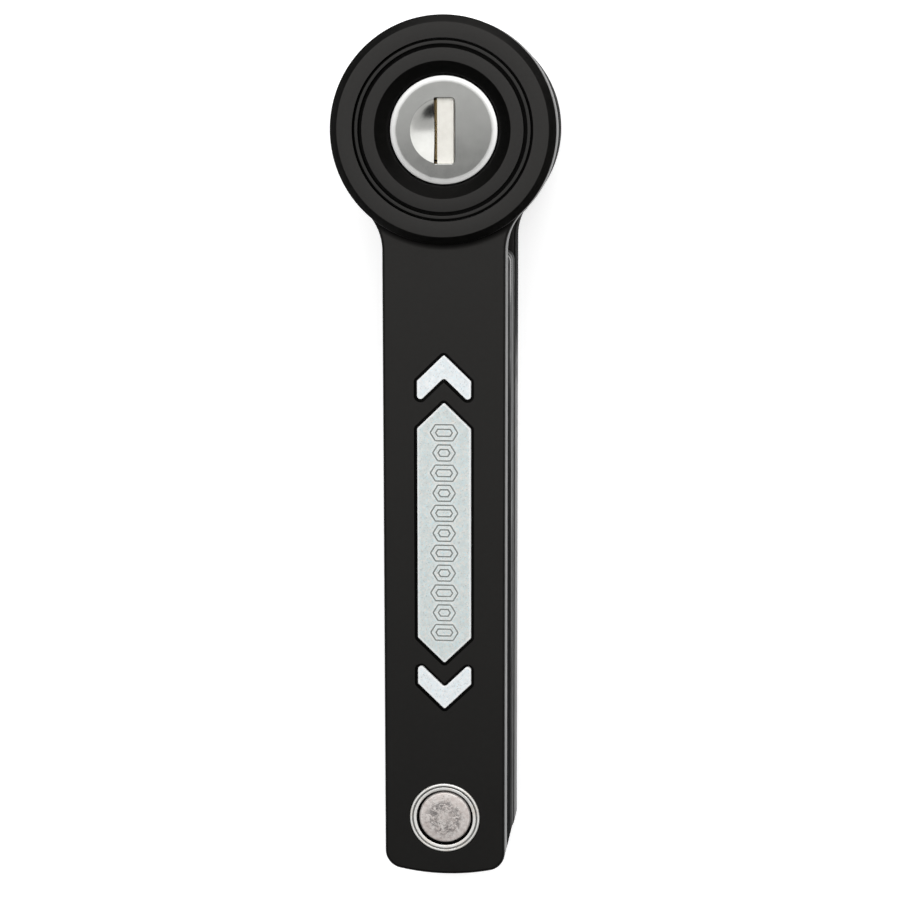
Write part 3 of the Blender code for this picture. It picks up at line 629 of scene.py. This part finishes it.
def sparkle(name, base, cool, warm, metallic, sparkles):
    """A pale reflective inlay: tiny coloured sparkles in a lacquer, and a painted highlight that whitens its
    rounded edges.
    """
    n = Nodes(name)
    rough = 0.45
    grains = n.cells(sparkles)
    patch = n.noise(900, 3.0)
    colour = n.blend(n.spread(grains[0], 0.55, 1.0, 0.0, 0.8), base, cool)
    colour = n.blend(n.spread(grains[1], 0.6, 1.0, 0.0, 0.7), colour, warm)
    colour = n.blend(n.spread(patch, 0.35, 0.65, 0.0, 0.22), colour, tuple(c * 0.55 for c in base))
    colour = n.blend(n.spread(grains[2], 0.85, 1.0, 0.0, 0.35), colour, tuple(c * 0.4 for c in base))
    # painted highlight: the colour turns white where the edges round off
    colour = n.blend(n.combine("MULTIPLY", n.edges(0.9 * MM, 0.002, 0.05), 0.9), colour, (1.0, 1.0, 1.0))
    roughness = n.spread(grains[2], 0.0, 1.0, rough * 0.8, rough * 1.25)
    normal = n.bump(grains[0], 0.004 * MM, 0.6, n.bump(patch, 0.006 * MM))
    return n.set(Base_Color=colour, Roughness=roughness, Metallic=metallic, Normal=normal)


def stamped_rivet(name):
    """The worn head of a rivet: pinkish grey steel with smeared circular scratches and dark pits."""
    n = Nodes(name)
    offset = n.add("ShaderNodeVectorMath", operation="MULTIPLY_ADD")
    n.link(n.noise(380, 2.0, 0.5, output="Color"), offset.inputs[0])
    offset.inputs[1].default_value = (1.6 * MM, 1.6 * MM, 0)
    offset.inputs[2].default_value = (-0.8 * MM, -0.8 * MM, 0)
    warped = n.add("ShaderNodeVectorMath", operation="ADD")
    n.link(n.around(LOWER_RIVET), warped.inputs[0])
    n.link(offset.outputs[0], warped.inputs[1])
    radius = n.radius(n.parts(warped.outputs[0]))
    rings = n.noise(2600, 3.0, vector=n.join(radius))
    smear = n.noise(950, 5.0, 0.65)
    pits = n.noise(1700, 4.0, 0.6)
    blot = n.noise(800, 5.0, 0.72, distortion=1.2)
    off_band = n.combine("ABSOLUTE", n.combine("SUBTRACT", radius, 2.5 * MM))
    band = n.spread(off_band, 0.5 * MM, 2.6 * MM, 1.0, 0.0)
    marks = n.combine("MULTIPLY", band, n.spread(n.weigh(rings, 0.25, blot, 0.75), 0.44, 0.57))
    colour = n.blend(n.spread(smear, 0.35, 0.65), (0.60, 0.53, 0.50), (0.80, 0.76, 0.73))
    colour = n.blend(n.combine("MULTIPLY", marks, 0.85), colour, (0.12, 0.11, 0.11))
    colour = n.blend(n.combine("MULTIPLY", n.spread(pits, 0.6, 0.72), 0.6), colour, (0.08, 0.07, 0.07))
    roughness = n.spread(smear, 0.3, 0.7, 0.30, 0.52)
    normal = n.bump(n.weigh(marks, -0.8, pits, -0.5), 0.05 * MM, 0.7)
    return n.set(Base_Color=colour, Roughness=roughness, Metallic=0.35, Normal=normal)


def grey(level):
    """A neutral colour."""
    return (level, level, level)


def make_materials():
    """Every material by a plain name."""
    black, soot = (0.0012, 0.0012, 0.0011), (0.0028, 0.0027, 0.0025)
    under_cap = (HEAD_RADIUS + 0.1 * MM, HEAD_RADIUS + 1.7 * MM)
    upper_rub, middle_rub = (-10 * MM, 45 * MM, 0.5), (-20 * MM, 42 * MM, 0.12)
    lower_rub, rear_rub = (-65 * MM, -10 * MM, 0.36), (36 * MM, 8 * MM, 0.34)
    # plain name: name, two colours, two roughnesses, specular, and where it is rubbed or dull
    satins = {
        "casing": ("casing_satin", black, soot, 0.38, 0.46, 0.24, None, under_cap),
        "casing_side": ("casing_side_satin", black, soot, 0.32, 0.38, 0.28),
        "rear_casing": ("rear_casing_satin", black, soot, 0.80, 0.90, 0.12, rear_rub),
        "cap": ("cap_satin", (0.0020, 0.0019, 0.0019), (0.0042, 0.0041, 0.0041), 0.34, 0.42, 0.27),
        "chamfer": ("chamfer_satin", black, soot, 0.36, 0.44, 0.18),
        "bezel": ("bezel_satin", (0.0020, 0.0019, 0.0020), (0.0042, 0.0041, 0.0042), 0.36, 0.44, 0.27),
        "well": ("well_satin", black, soot, 0.46, 0.56, 0.16),
        "ring": ("trim_ring_satin", grey(0.002), grey(0.004), 0.34, 0.42, 0.26),
        # the black coat made darker and duller still: painted shade for recesses, grooves and gaps between parts
        "recess": ("recess_black", grey(0.0010), (0.0018, 0.0018, 0.0017), 0.55, 0.65, 0.1),
        "link_2": ("link_satin_a", black, soot, 0.96, 1.0, 0.03, upper_rub),
        "link_3": ("link_satin_b", black, soot, 0.96, 1.0, 0.03, middle_rub),
        "link_4": ("link_satin_c", black, soot, 0.72, 0.82, 0.14, lower_rub),
        "link_5": ("link_satin_d", black, soot, 0.50, 0.60, 0.18),
        "link_face": ("link_face_satin", black, soot, 0.40, 0.50, 0.26),
        # a grey floor for the pale steel rings' fine groove: painted shade in the groove
        "groove": ("groove_grey", (0.16, 0.16, 0.155), (0.22, 0.22, 0.21), 0.4, 0.5),
        "engraving": ("engraving_grey", (0.20, 0.22, 0.21), (0.27, 0.29, 0.28), 0.5, 0.6),
        "cream": ("flap_cream_satin", (0.78, 0.76, 0.70), (0.86, 0.845, 0.785), 0.34, 0.46),
        "polymer": ("washer_grey", grey(0.16), grey(0.22), 0.45, 0.58),
    }
    # a pale ring of colour near the plug face's edge: painted highlight on its rounded edge
    rim_highlight = (10.35 * MM, 11.25 * MM, (0.66, 0.66, 0.65), 0.48)
    pale_steel, straw = (0.94, 0.93, 0.90), (0.72, 0.62, 0.50)
    # plain name: name, colour, roughness, depth of the marks, axis, tint, painted highlight ring and metallic
    turned = {
        "drum": ("drum_steel", (0.085, 0.085, 0.088), 0.34, 0.003 * MM),
        "plate": ("plate_steel", (0.42, 0.42, 0.41), 0.30),
        "chrome": ("plug_chrome_satin", (0.168, 0.169, 0.163), 0.20, 0.0004 * MM, None, None, rim_highlight),
        "scoop": ("scoop_polish", (0.37, 0.37, 0.355), 0.20, 0.0016 * MM),
        "bright": ("bright_edge", (0.60, 0.60, 0.58), 0.35, 0.0004 * MM),
        "brass": ("machined_brass", (0.70, 0.52, 0.26), 0.28),
        "inner_rivet": ("inner_rivet_steel", (0.50, 0.48, 0.46), 0.34),
        "rivet_ring": ("rivet_ring_steel", pale_steel, 0.32, 0.0008 * MM, LOWER_RIVET, straw, None, 0.6),
    }
    made = {key: satin_coat(*settings) for key, settings in satins.items()}
    made.update({key: turned_steel(*settings) for key, settings in turned.items()})
    made["core"] = brushed_steel("core_steel", (0.070, 0.070, 0.073), 0.34)
    made["pin"] = brushed_steel("pin_steel", grey(0.45), 0.32, along=(1, 1, 1))
    made["spring"] = brushed_steel("spring_steel", grey(0.5), 0.3)
    made["rivet"] = stamped_rivet("stamped_rivet")
    ice, rose = (0.80, 0.94, 1.0), (1.0, 0.97, 0.95)
    made["pale"] = sparkle("inlay_pale_sparkle", (0.87, 0.92, 0.94), ice, rose, 0.0, 3600)
    teal, sand = (0.62, 0.78, 0.82), (0.84, 0.78, 0.72)
    made["silver"] = sparkle("plaque_sparkle", (0.68, 0.74, 0.73), teal, sand, 0.05, 3400)
    return made


# ---------------------------------------------------------------- pieces


def make_front_casing(look):
    """The front bar's casing: a rounded tray with a deeper head, recesses for the inlays and the rivet."""
    outline = headed_outline(HEAD_RADIUS)
    pocket = CORE_HIGH.z + CORE_GAP
    drop = FRONT_LOW.z - BAR_BACK
    profile = [(CASING_WALL, pocket), (CASING_WALL, BAR_BACK + 0.2 * MM), (CASING_WALL - 0.2 * MM, BAR_BACK)]
    profile += rounded_plate(BAR_BACK, FACE, CASING_ROUND, lower=2.9 * MM)[1:]

    bm = bmesh.new()
    across = CASING_HALF_WIDTH + NECK_RADIUS
    deep_from = -math.sqrt((HEAD_RADIUS + NECK_RADIUS) ** 2 - across**2) / (HEAD_RADIUS + NECK_RADIUS)
    loops = []
    for inset, z in profile:
        loop = []
        for x, y in outline(inset):
            direction = Vector((x, y - HEAD_Y)).normalized()
            on_head = direction.y > deep_from + 0.002 and y > HEAD_Y - HEAD_RADIUS
            deeper = drop if on_head and z < BAR_BACK + 2 * CASING_ROUND else 0.0
            loop.append(bm.verts.new((x, y, z + deeper)))
        loops.append(loop)
    add_skin(bm, loops)
    casing = finish_mesh("front_casing", bm, [look["casing"], look["recess"], look["casing_side"]])
    finish_sides(casing, 2, 0.3)

    cuts = bmesh.new()
    add_rod(cuts, BORE_RADIUS, pocket - MM, FACE + MM)
    carve(casing, cuts)

    cuts = bmesh.new()
    wide = -INLAY_BORDER
    steps = [(wide, FACE - RECESS_DEPTH), (wide, FACE - FLARE)]
    steps += [(wide - FLARE, FACE), (wide - FLARE, FACE + MM)]
    for shape in (UPPER_CHEVRON, PLAQUE, LOWER_CHEVRON):
        add_sweep(cuts, shape, steps)
    # the recess walls and floors get the painted-shade black
    carve(casing, cuts, finish=1)

    cuts = bmesh.new()
    ring_radius = 8.05 * MM
    floor = FACE - RING_SEAT_DEPTH
    section = [(0, floor), (ring_radius, floor), (ring_radius, FACE - FLARE)]
    section += [(ring_radius + FLARE, FACE), (ring_radius + FLARE, FACE + MM), (0, FACE + MM)]
    add_turned(cuts, section, 128, LOWER_RIVET)
    # the ring seat's walls and floor get the painted-shade black
    carve(casing, cuts, finish=1)

    cuts = bmesh.new()
    add_rod(cuts, RIVET_HOLE, pocket - MM, FACE, 64, LOWER_RIVET)
    carve(casing, cuts)
    place(casing, "front_bar_casing")
    make_collar_bridge(look, math.degrees(math.acos(-deep_from)) + 1.0)


def make_collar_bridge(look, opening):
    """The stretch of the head's collar that the bar's neck leaves open, over opening degrees each way."""
    bridge = bmesh.new()
    inner = HEAD_RADIUS - CASING_WALL
    outer = HEAD_RADIUS - 0.03 * MM
    edge = 0.3 * MM
    section = [(inner, BAR_BACK + MM), (inner, FRONT_LOW.z + edge), (inner + edge, FRONT_LOW.z)]
    section += [(outer - 2 * edge, FRONT_LOW.z), (outer, FRONT_LOW.z + 2 * edge), (outer, BAR_BACK + MM)]
    start, end = 270 - opening, 270 + opening
    steps = 48
    rings = []
    for i in range(steps + 1):
        a = math.radians(start + (end - start) * i / steps)
        rings.append([bridge.verts.new((r * math.cos(a), HEAD_Y + r * math.sin(a), z)) for r, z in section])
    for one, other in zip(rings, rings[1:]):
        add_band(bridge, one, other)
    bridge.faces.new(rings[0])
    bridge.faces.new(list(reversed(rings[-1])))
    made = finish_mesh("front_collar_bridge", bridge, [look["casing"]])
    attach(made, BODY_OF["front_bar_casing"])


def rounded_plate(low, high, rounding, steps=6, lower=None):
    """A sweep profile for a plate with rounded edges, from its rear to its face."""
    turns = [math.radians(90 * i / steps) for i in range(steps + 1)]
    under = lower or rounding
    rear = [(under - under * math.sin(a), low + under - under * math.cos(a)) for a in turns]
    upper = [(rounding - rounding * math.cos(a), high - rounding + rounding * math.sin(a)) for a in turns]
    margin = 0.08 * MM
    return [(under + margin, low)] + rear + upper + [(rounding + margin, high)]


def make_rear_casing(look):
    """The rear bar's casing: a rounded tray, open to the front, with the rivet's ring in its rear face."""
    outline = headed_outline(REAR_HEAD_RADIUS, REAR_CORNER_RADIUS)
    top = REAR_HIGH.z
    profile = rounded_plate(0.0, top, CASING_ROUND)[:-1]
    profile += [(CASING_WALL - 0.2 * MM, top), (CASING_WALL, top - 0.2 * MM)]
    profile.append((CASING_WALL, REAR_CORE_LOW.z - CORE_GAP))
    bm = bmesh.new()
    add_sweep(bm, outline, profile)
    casing = finish_mesh("rear_casing", bm, [look["link_face"], look["recess"], look["rear_casing"]])
    finish_sides(casing, 2)
    cuts = bmesh.new()
    flare = 0.12 * MM
    ring_radius = 8.1 * MM
    section = [(0, -MM), (ring_radius + flare, -MM), (ring_radius + flare, 0.0), (ring_radius, flare)]
    section += [(ring_radius, RING_SEAT_DEPTH), (0, RING_SEAT_DEPTH)]
    add_turned(cuts, section, 128, LOWER_RIVET)
    # the ring seat's walls and floor get the painted-shade black
    carve(casing, cuts, finish=1)
    cuts = bmesh.new()
    add_rod(cuts, RIVET_HOLE, 0.0, top, 64, LOWER_RIVET)
    carve(casing, cuts)
    place(casing, "rear_bar_casing")


def make_core(name, outline, low, high, look):
    """A steel bar that fits inside a casing's outline."""
    margin = CASING_WALL + CORE_GAP
    bm = bmesh.new()
    profile = [(CORE_EDGE, low), (0, low + CORE_EDGE), (0, high - CORE_EDGE), (CORE_EDGE, high)]
    add_sweep(bm, lambda inset: outline(margin + inset), profile)
    return finish_mesh(name, bm, [look["core"]])


def make_cores(look):
    """The steel bars inside the two casings."""
    low, high = BAR_BACK, CORE_HIGH.z
    core = make_core("front_core", headed_outline(HEAD_RADIUS), low, high, look)
    collar = bmesh.new()
    inner = BORE_RADIUS - 0.1 * MM
    outer = HEAD_RADIUS - CASING_WALL - CORE_GAP
    add_turned(collar, [(inner, CORE_LOW.z), (outer, CORE_LOW.z), (outer, low + MM), (inner, low + MM)], 136)
    carve(core, collar, operation="UNION")
    cuts = bmesh.new()
    add_rod(cuts, BORE_RADIUS, CORE_LOW.z - MM, high + MM)
    add_rod(cuts, RIVET_HOLE, low - MM, high + MM, 64, LOWER_RIVET)
    carve(core, cuts)
    place(core, "front_bar_core")

    low, high = REAR_CORE_LOW.z, REAR_CORE_HIGH.z
    core = make_core("rear_core", headed_outline(REAR_HEAD_RADIUS, REAR_CORNER_RADIUS), low, high, look)
    cuts = bmesh.new()
    bush_low, bush_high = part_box("eye_bushing")
    add_rod(cuts, (bush_high.x - bush_low.x) / 2 + 0.12 * MM, low - MM, high + MM)
    add_rod(cuts, RIVET_HOLE, low - MM, high - 0.5 * MM, 64, LOWER_RIVET)
    carve(core, cuts)
    cuts = bmesh.new()
    add_rod(cuts, WASHER_SEAT, high - WASHER_SEAT_DEPTH, high + MM, 96, LOWER_RIVET)
    carve(core, cuts)
    place(core, "rear_bar_core")


def make_links(look):
    """The four links between the cased bars, with their counterbores."""
    for number in (2, 3, 4, 5):
        low_corner, high_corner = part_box(f"link_{number}")
        low, high = low_corner.z, high_corner.z
        bm = bmesh.new()
        add_sweep(bm, link_outline, rounded_plate(low, high, LINK_ROUND))
        link = finish_mesh(f"bar_link_{number}", bm, [look["link_face"], look[f"link_{number}"]])
        finish_sides(link, 1)
        to_front, to_rear = (BOTTOM_Y, TOP_Y) if number % 2 == 0 else (TOP_Y, BOTTOM_Y)
        cuts = bmesh.new()
        add_rod(cuts, RIVET_BORE, low - MM, low + RIVET_BORE_DEPTH, 96, (0.0, to_front))
        add_rod(cuts, RIVET_BORE, high - RIVET_BORE_DEPTH, high + MM, 96, (0.0, to_rear))
        add_rod(cuts, WASHER_SEAT, high - WASHER_SEAT_DEPTH, high + MM, 96, (0.0, to_front))
        carve(link, cuts)
        cuts = bmesh.new()
        for y in (to_front, to_rear):
            add_rod(cuts, RIVET_HOLE, low - MM, high + MM, 64, (0.0, y))
        carve(link, cuts)
        place(link, f"link_{number}")


def make_rivets(look):
    """Rivets with softly domed heads, the washers between the bars and the two outer rings."""
    for number in range(1, 6):
        low_corner, high_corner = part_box(f"rivet_{number}")
        centre = (0.0, BOTTOM_Y if number % 2 else TOP_Y)
        low, high = low_corner.z, high_corner.z
        head = (high_corner.x - low_corner.x) / 2
        shank = 4.0 * MM
        deep = 1.5 * MM
        dome = 0.12 * MM
        points = [(0, low), (head, low), (head, low + deep), (shank, low + deep), (shank, high - deep)]
        points += [(head, high - deep), (head, high - dome), (0, high)]
        section = rounded_section(points, [0, 0.4 * MM, 0.1 * MM, 0, 0, 0.1 * MM, 0.45 * MM, 0])
        finish = look["rivet"] if number == 1 else look["inner_rivet"]
        turned_piece(f"bar_rivet_{number}", section, f"rivet_{number}", finish, 96, centre)
        low_corner, high_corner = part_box(f"washer_{number}")
        low, high = low_corner.z, high_corner.z
        inner, outer = 4.6 * MM, (high_corner.x - low_corner.x) / 2
        points = [(inner, low), (outer, low), (outer, high), (inner, high)]
        section = rounded_section(points, [0.1 * MM] * 4, 3)
        turned_piece(f"friction_washer_{number}", section, f"washer_{number}", look["polymer"], 96, centre)

    # the outer rings: a rounded lip, a fine groove and an inner land round the rivet's head
    groove_in, groove_out = 7.12, 7.38
    points = [(6.40, -1.2), (7.95, -1.2), (7.95, 0.0), (7.42, 0.0), (groove_out, -0.5), (groove_in, -0.5)]
    points += [(7.08, -0.03), (6.40, -0.06)]
    radii = [r * MM for r in (0, 0, 0.22, 0.08, 0.02, 0.02, 0.10, 0.10)]

    # the groove's floor gets the painted-shade grey, and the inner side walls get the painted-shade black
    def pick(radius, up):
        if abs(up) > 0.5:
            return 2 if (groove_in - 0.02) * MM < radius < groove_out * MM else 0
        return int(radius < (groove_in + groove_out) / 2 * MM)

    looks = [look["rivet_ring"], look["recess"], look["groove"]]
    for name, node, face, way, rise in (("front_ring", "front_rivet_ring", FACE, 1, 0.12 * MM),
                                        ("rear_ring", "rear_rivet_ring", 0.0, -1, -0.02 * MM)):
        section = rounded_section([(r * MM, face + way * (z * MM + rise)) for r, z in points], radii, 6)
        turned_piece(name, section, node, looks, 128, LOWER_RIVET, pick)


def hexagon(centre_y, half_length, half_height, inset):
    """A hexagon that lies across the bar, moved inwards by inset."""
    point = half_height * 0.62
    slope = math.hypot(point, half_height)
    tip = half_length - inset * slope / half_height
    shoulder = half_length - point - inset * (slope - point) / half_height
    rise = half_height - inset
    corners = [(tip, centre_y), (shoulder, centre_y + rise), (-shoulder, centre_y + rise), (-tip, centre_y)]
    corners += [(-shoulder, centre_y - rise), (shoulder, centre_y - rise)]
    return round_corners(corners, [0.45 * MM], inset, 4)


def make_inlays(look):
    """The chevrons and the plaque, which is engraved with a plain row of hexagonal links."""
    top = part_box("plaque")[1].z
    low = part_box("plaque")[0].z
    for name, node, outline in (("chevron_high", "upper_chevron", UPPER_CHEVRON),
                                ("chevron_low", "lower_chevron", LOWER_CHEVRON)):
        swept_piece(name, outline, rounded_plate(low, top, INLAY_ROUND, 4), node, look["pale"])
    bm = bmesh.new()
    add_sweep(bm, PLAQUE, rounded_plate(low, top, INLAY_ROUND, 4))
    plate = finish_mesh("plaque_plate", bm, [look["silver"], look["engraving"]])
    lines = bmesh.new()
    half_height = 1.95 * MM
    for i in range(ENGRAVED_LINKS):
        y = HEAD_Y - ENGRAVED_FROM - ENGRAVED_PITCH * i
        half_length = 3.25 * MM if i % 2 == 0 else 2.7 * MM
        for inset in (0.0, 1.02 * MM):
            outer = hexagon(y, half_length, half_height, inset)
            inner = hexagon(y, half_length, half_height, inset + ENGRAVED_LINE)
            add_ring_prism(lines, outer, inner, top - ENGRAVED_DEPTH, top + 0.4 * MM)
    carve(plate, lines, finish=1)
    place(plate, "plaque")


def make_head(look):
    """The cap, the trim ring, the bezel with its well, the drum and its rear plate."""
    base = FACE + 0.06 * MM
    inner = 19.68 * MM
    points = [(inner, base), (HEAD_RADIUS, base), (HEAD_RADIUS, CAP_TOP - 1.1 * MM)]
    points += [(HEAD_RADIUS - 1.6 * MM, CAP_TOP), (inner, CAP_TOP)]
    section = rounded_section(points, [0, 0.12 * MM, 0.25 * MM, 0.22 * MM, 0.10 * MM], 6)

    # the cap's inner walls get the painted-shade black
    def pick_cap(radius, up):
        if radius < inner + MM:
            return int(up < 0.4)
        return 2 if up < 0.96 else 0

    looks = [look["cap"], look["recess"], look["chamfer"]]
    turned_piece("cap", section, "head_cap", looks, 256, pick=pick_cap)

    # the trim ring stands on a flange that is the floor of both grooves
    low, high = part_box("trim_ring")
    outer = 19.22 * MM
    inner_side = outer - 0.80 * MM
    flange_in, flange_out = outer - 1.55 * MM, outer + 0.4 * MM
    shelf = low.z + 0.3 * MM
    points = [(flange_in, low.z), (flange_out, low.z), (flange_out, shelf), (outer, shelf)]
    points += [(outer, high.z), (inner_side, high.z), (inner_side, shelf), (flange_in, shelf)]
    section = rounded_section(points, [0, 0, 0, 0, 0.14 * MM, 0.14 * MM, 0, 0], 6)
    # the ring's sides and flange get the painted-shade black
    turned_piece("groove_ring", section, "trim_ring", [look["ring"], look["recess"]], 256,
                 pick=lambda radius, up: int(up < 0.93 or radius < inner_side - 0.02 * MM or radius > outer))

    outer, well_edge = 17.68 * MM, 14.84 * MM
    points = [(12.15 * MM, FACE - 0.55 * MM), (12.9 * MM, base - 0.7 * MM), (outer, base - 0.2 * MM)]
    points += [(outer, CAP_TOP), (well_edge, CAP_TOP), (12.45 * MM, FACE + 0.1 * MM)]
    section = rounded_section(points, [0, 0, 0, 0.10 * MM, 0.12 * MM, 0.1 * MM], 6)

    # the bezel's innermost and outer sides get the painted-shade black
    def pick_bezel(radius, up):
        if radius < 12.6 * MM or radius > 17 * MM and up < 0.93:
            return 1
        return 2 if radius < well_edge - 0.04 * MM and up < 0.9 else 0

    turned_piece("bezel", section, "cylinder_bezel", [look["bezel"], look["recess"], look["well"]], 256,
                 pick=pick_bezel)

    low, high = DRUM_LOW, DRUM_HIGH
    radius = (high.x - low.x) / 2
    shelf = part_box("cylinder_shell")[0].z - 0.3 * MM
    hole, inside = 8.0 * MM, 14.3 * MM
    points = [(hole, low.z), (radius, low.z), (radius, high.z), (inside, high.z)]
    points += [(inside, shelf), (hole, shelf)]
    section = rounded_section(points, [0.1 * MM, 0.3 * MM, 0.2 * MM, 0.1 * MM, 0, 0], 4)
    turned_piece("drum", section, "lock_body", look["drum"], 192)

    low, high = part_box("lock_back_plate")
    radius = (high.x - low.x) / 2
    hole = 4.0 * MM
    points = [(hole, low.z), (radius, low.z), (radius, high.z), (hole, high.z)]
    section = rounded_section(points, [0.25 * MM, 0.5 * MM, 0.1 * MM, 0.1 * MM], 4)
    turned_piece("drum_plate", section, "lock_back_plate", look["plate"], 192)


def make_plug(look):
    """The satin plug face with a painted highlight ring at its edge, the scooped half-moon and the keyway."""
    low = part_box("plug_face")[0].z
    hollow = 10.0 * MM
    ceiling = PLUG_TOP - 1.5 * MM
    top = PLUG_TOP
    edge = PLUG_RADIUS - 0.90 * MM
    points = [(0, ceiling), (hollow, ceiling), (hollow, low), (PLUG_RADIUS, low)]
    points += [(PLUG_RADIUS, top - 0.22 * MM), (edge, top - 0.05 * MM)]
    section = rounded_section(points, [0, 0, 0, 0, 0.22 * MM, 0], 8)
    dome = 0.22 * MM
    shares = (0.98, 0.93, 0.86, 0.75, 0.6, 0.45, 0.3, 0.15, 0)
    section += [(edge * t, top - 0.05 * MM + dome * (1 - t * t)) for t in shares]
    bm = bmesh.new()
    add_turned(bm, section, 192)
    face = finish_mesh("plug_disc", bm, [look["chrome"], look["scoop"], look["bright"], look["recess"]])
    # faces that do not face up, such as the plug's side, get the painted-shade black
    for polygon in face.data.polygons:
        if polygon.normal.z < 0.6:
            polygon.material_index = 3

    top = PLUG_TOP + 0.12 * MM
    bowl = bmesh.new()
    centre = (-0.15 * MM, HEAD_Y - 0.25 * MM)
    depths = [(0, 1.46), (1.2, 1.43), (2.4, 1.34), (3.2, 1.21), (4.0, 1.00), (5.0, 0.66), (5.8, 0.37)]
    depths += [(6.3, 0.22), (6.6, 0.15), (6.85, 0.11), (7.15, 0.06), (7.35, 0.0)]
    profile = [(r * MM, top - d * MM) for r, d in depths] + [(7.45 * MM, top + MM), (0, top + MM)]
    add_turned(bowl, profile, 128, centre)
    bmesh.ops.bisect_plane(bowl, geom=bowl.verts[:] + bowl.edges[:] + bowl.faces[:], dist=1e-7,
                           plane_co=(-1.8 * MM, 0, 0), plane_no=(1, 0, 0), clear_outer=True)
    bmesh.ops.holes_fill(bowl, edges=[edge for edge in bowl.edges if edge.is_boundary], sides=0)
    carve(face, bowl, finish=1)

    slot = bmesh.new()
    left, right, near, far = -2.15 * MM, 2.30 * MM, HEAD_Y - 7.25 * MM, HEAD_Y + 6.85 * MM
    soft = 0.30 * MM

    def keyway(inset):
        corners = [(left, near + inset), (right - inset, near + inset), (right - inset, far - inset),
                   (left, far - inset)]
        return round_corners(corners, [0.1 * MM, 0.7 * MM, 0.7 * MM, 0.1 * MM], inset)

    steps = [(0, ceiling - MM), (0, top - 0.30 * MM), (-0.08 * MM, top - 0.14 * MM)]
    steps += [(-soft, top), (-soft, top + MM)]
    add_sweep(slot, keyway, steps)
    carve(face, slot, finish=2)
    place(face, "plug_face")


def make_flap(look):
    """The cream dust flap, with a rounded border and a shallow pressed middle."""
    low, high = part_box("keyway_flap")
    profile = rounded_plate(low.z, high.z, 0.14 * MM, 4)[:-1]
    profile += [(0.50 * MM, high.z), (0.58 * MM, high.z - 0.05 * MM), (0.66 * MM, high.z - 0.06 * MM)]
    swept_piece("dust_flap", rectangle(low, high, 0.5 * MM), profile, "keyway_flap", look["cream"])


def make_spring(look):
    """The flap's leaf spring, which ends beside the flap's edge, so that the flap can swing past it."""
    low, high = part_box("flap_spring")
    outline = rectangle((2.2 * MM, low.y), high, 0.4 * MM)
    profile = rounded_plate(high.z - 0.2 * MM, high.z, 0.05 * MM, 2)
    swept_piece("spring_leaf", outline, profile, "flap_spring", look["spring"])


# ---------------------------------------------------------------- stage


def make_stage():
    """A plain pale floor, soft studio lights and the camera."""
    bm = bmesh.new()
    side = FLOOR_HALF_SIDE
    add_sweep(bm, lambda inset: [(-side, -side), (side, -side), (side, side), (-side, side)],
              [(0, -20 * MM), (0, -0.02 * MM)])
    floor = finish_mesh("floor", bm)
    n = Nodes("floor_white")
    tone = n.blend(n.spread(n.noise(6, 2.0), 0.3, 0.7), (0.86, 0.86, 0.86), (0.90, 0.90, 0.90))
    n.shader.inputs["Emission Color"].default_value = (1, 1, 1, 1)
    n.shader.inputs["Emission Strength"].default_value = FLOOR_GLOW
    floor.data.materials.append(n.set(Base_Color=tone, Roughness=0.8))

    world = bpy.data.worlds.new("studio")
    bpy.context.scene.world = world
    world.use_nodes = True
    background = world.node_tree.nodes["Background"]
    background.inputs["Color"].default_value = (1, 1, 1, 1)
    background.inputs["Strength"].default_value = WORLD_LIGHT

    for name, start, end, low, high, radiance in PANELS:
        width, height = end - start, high - low
        light = bpy.data.lights.new(name, "AREA")
        light.shape = "RECTANGLE"
        light.size = width
        light.size_y = height
        light.energy = radiance * math.pi * width * height
        made = bpy.data.objects.new(name, light)
        turn = Matrix.Rotation(PANEL_TURN, 4, "Z")
        offset = Vector(((start + end) / 2, (low + high) / 2, 0))
        made.matrix_world = Matrix.Translation(PANEL_PIVOT) @ turn @ Matrix.Translation(offset)
        bpy.context.scene.collection.objects.link(made)

    camera = bpy.data.cameras.new("camera")
    camera.lens = CAMERA_LENS
    camera.sensor_width = CAMERA_SENSOR
    camera.clip_start = 0.01
    camera.clip_end = 20.0
    made = bpy.data.objects.new("camera", camera)
    back = CAMERA_RIGHT.cross(CAMERA_UP).normalized()
    up = back.cross(CAMERA_RIGHT).normalized()
    turn = Matrix((up.cross(back), up, back)).transposed().to_4x4()
    made.matrix_world = Matrix.Translation(CAMERA_AIM + back * CAMERA_DISTANCE) @ turn
    bpy.context.scene.collection.objects.link(made)
    bpy.context.scene.camera = made
    bpy.context.scene.view_settings.view_transform = "Standard"


def main():
    make_stage()
    look = make_materials()
    for make in (make_front_casing, make_rear_casing, make_cores, make_links, make_rivets, make_inlays,
                 make_head, make_plug, make_flap, make_spring):
        make(look)
    # inner pieces that keep their frame shapes
    # the cylinder shell, deep in the head, gets the painted-shade black
    plain = {"plug_barrel": "brass", "sidebar": "pin", "driver_cam": "plate", "cylinder_shell": "recess",
             "locking_bolt": "pin", "eye_bushing": "plate"}
    for node in frame["nodes"]:
        if node.startswith("detainer_disc"):
            plain[node] = "brass"
        if node.startswith("back_plate_pin"):
            plain[node] = "pin"
    for node, kind in plain.items():
        held = frame["nodes"][node]
        held.data.materials.clear()
        held.data.materials.append(look[kind])


main()
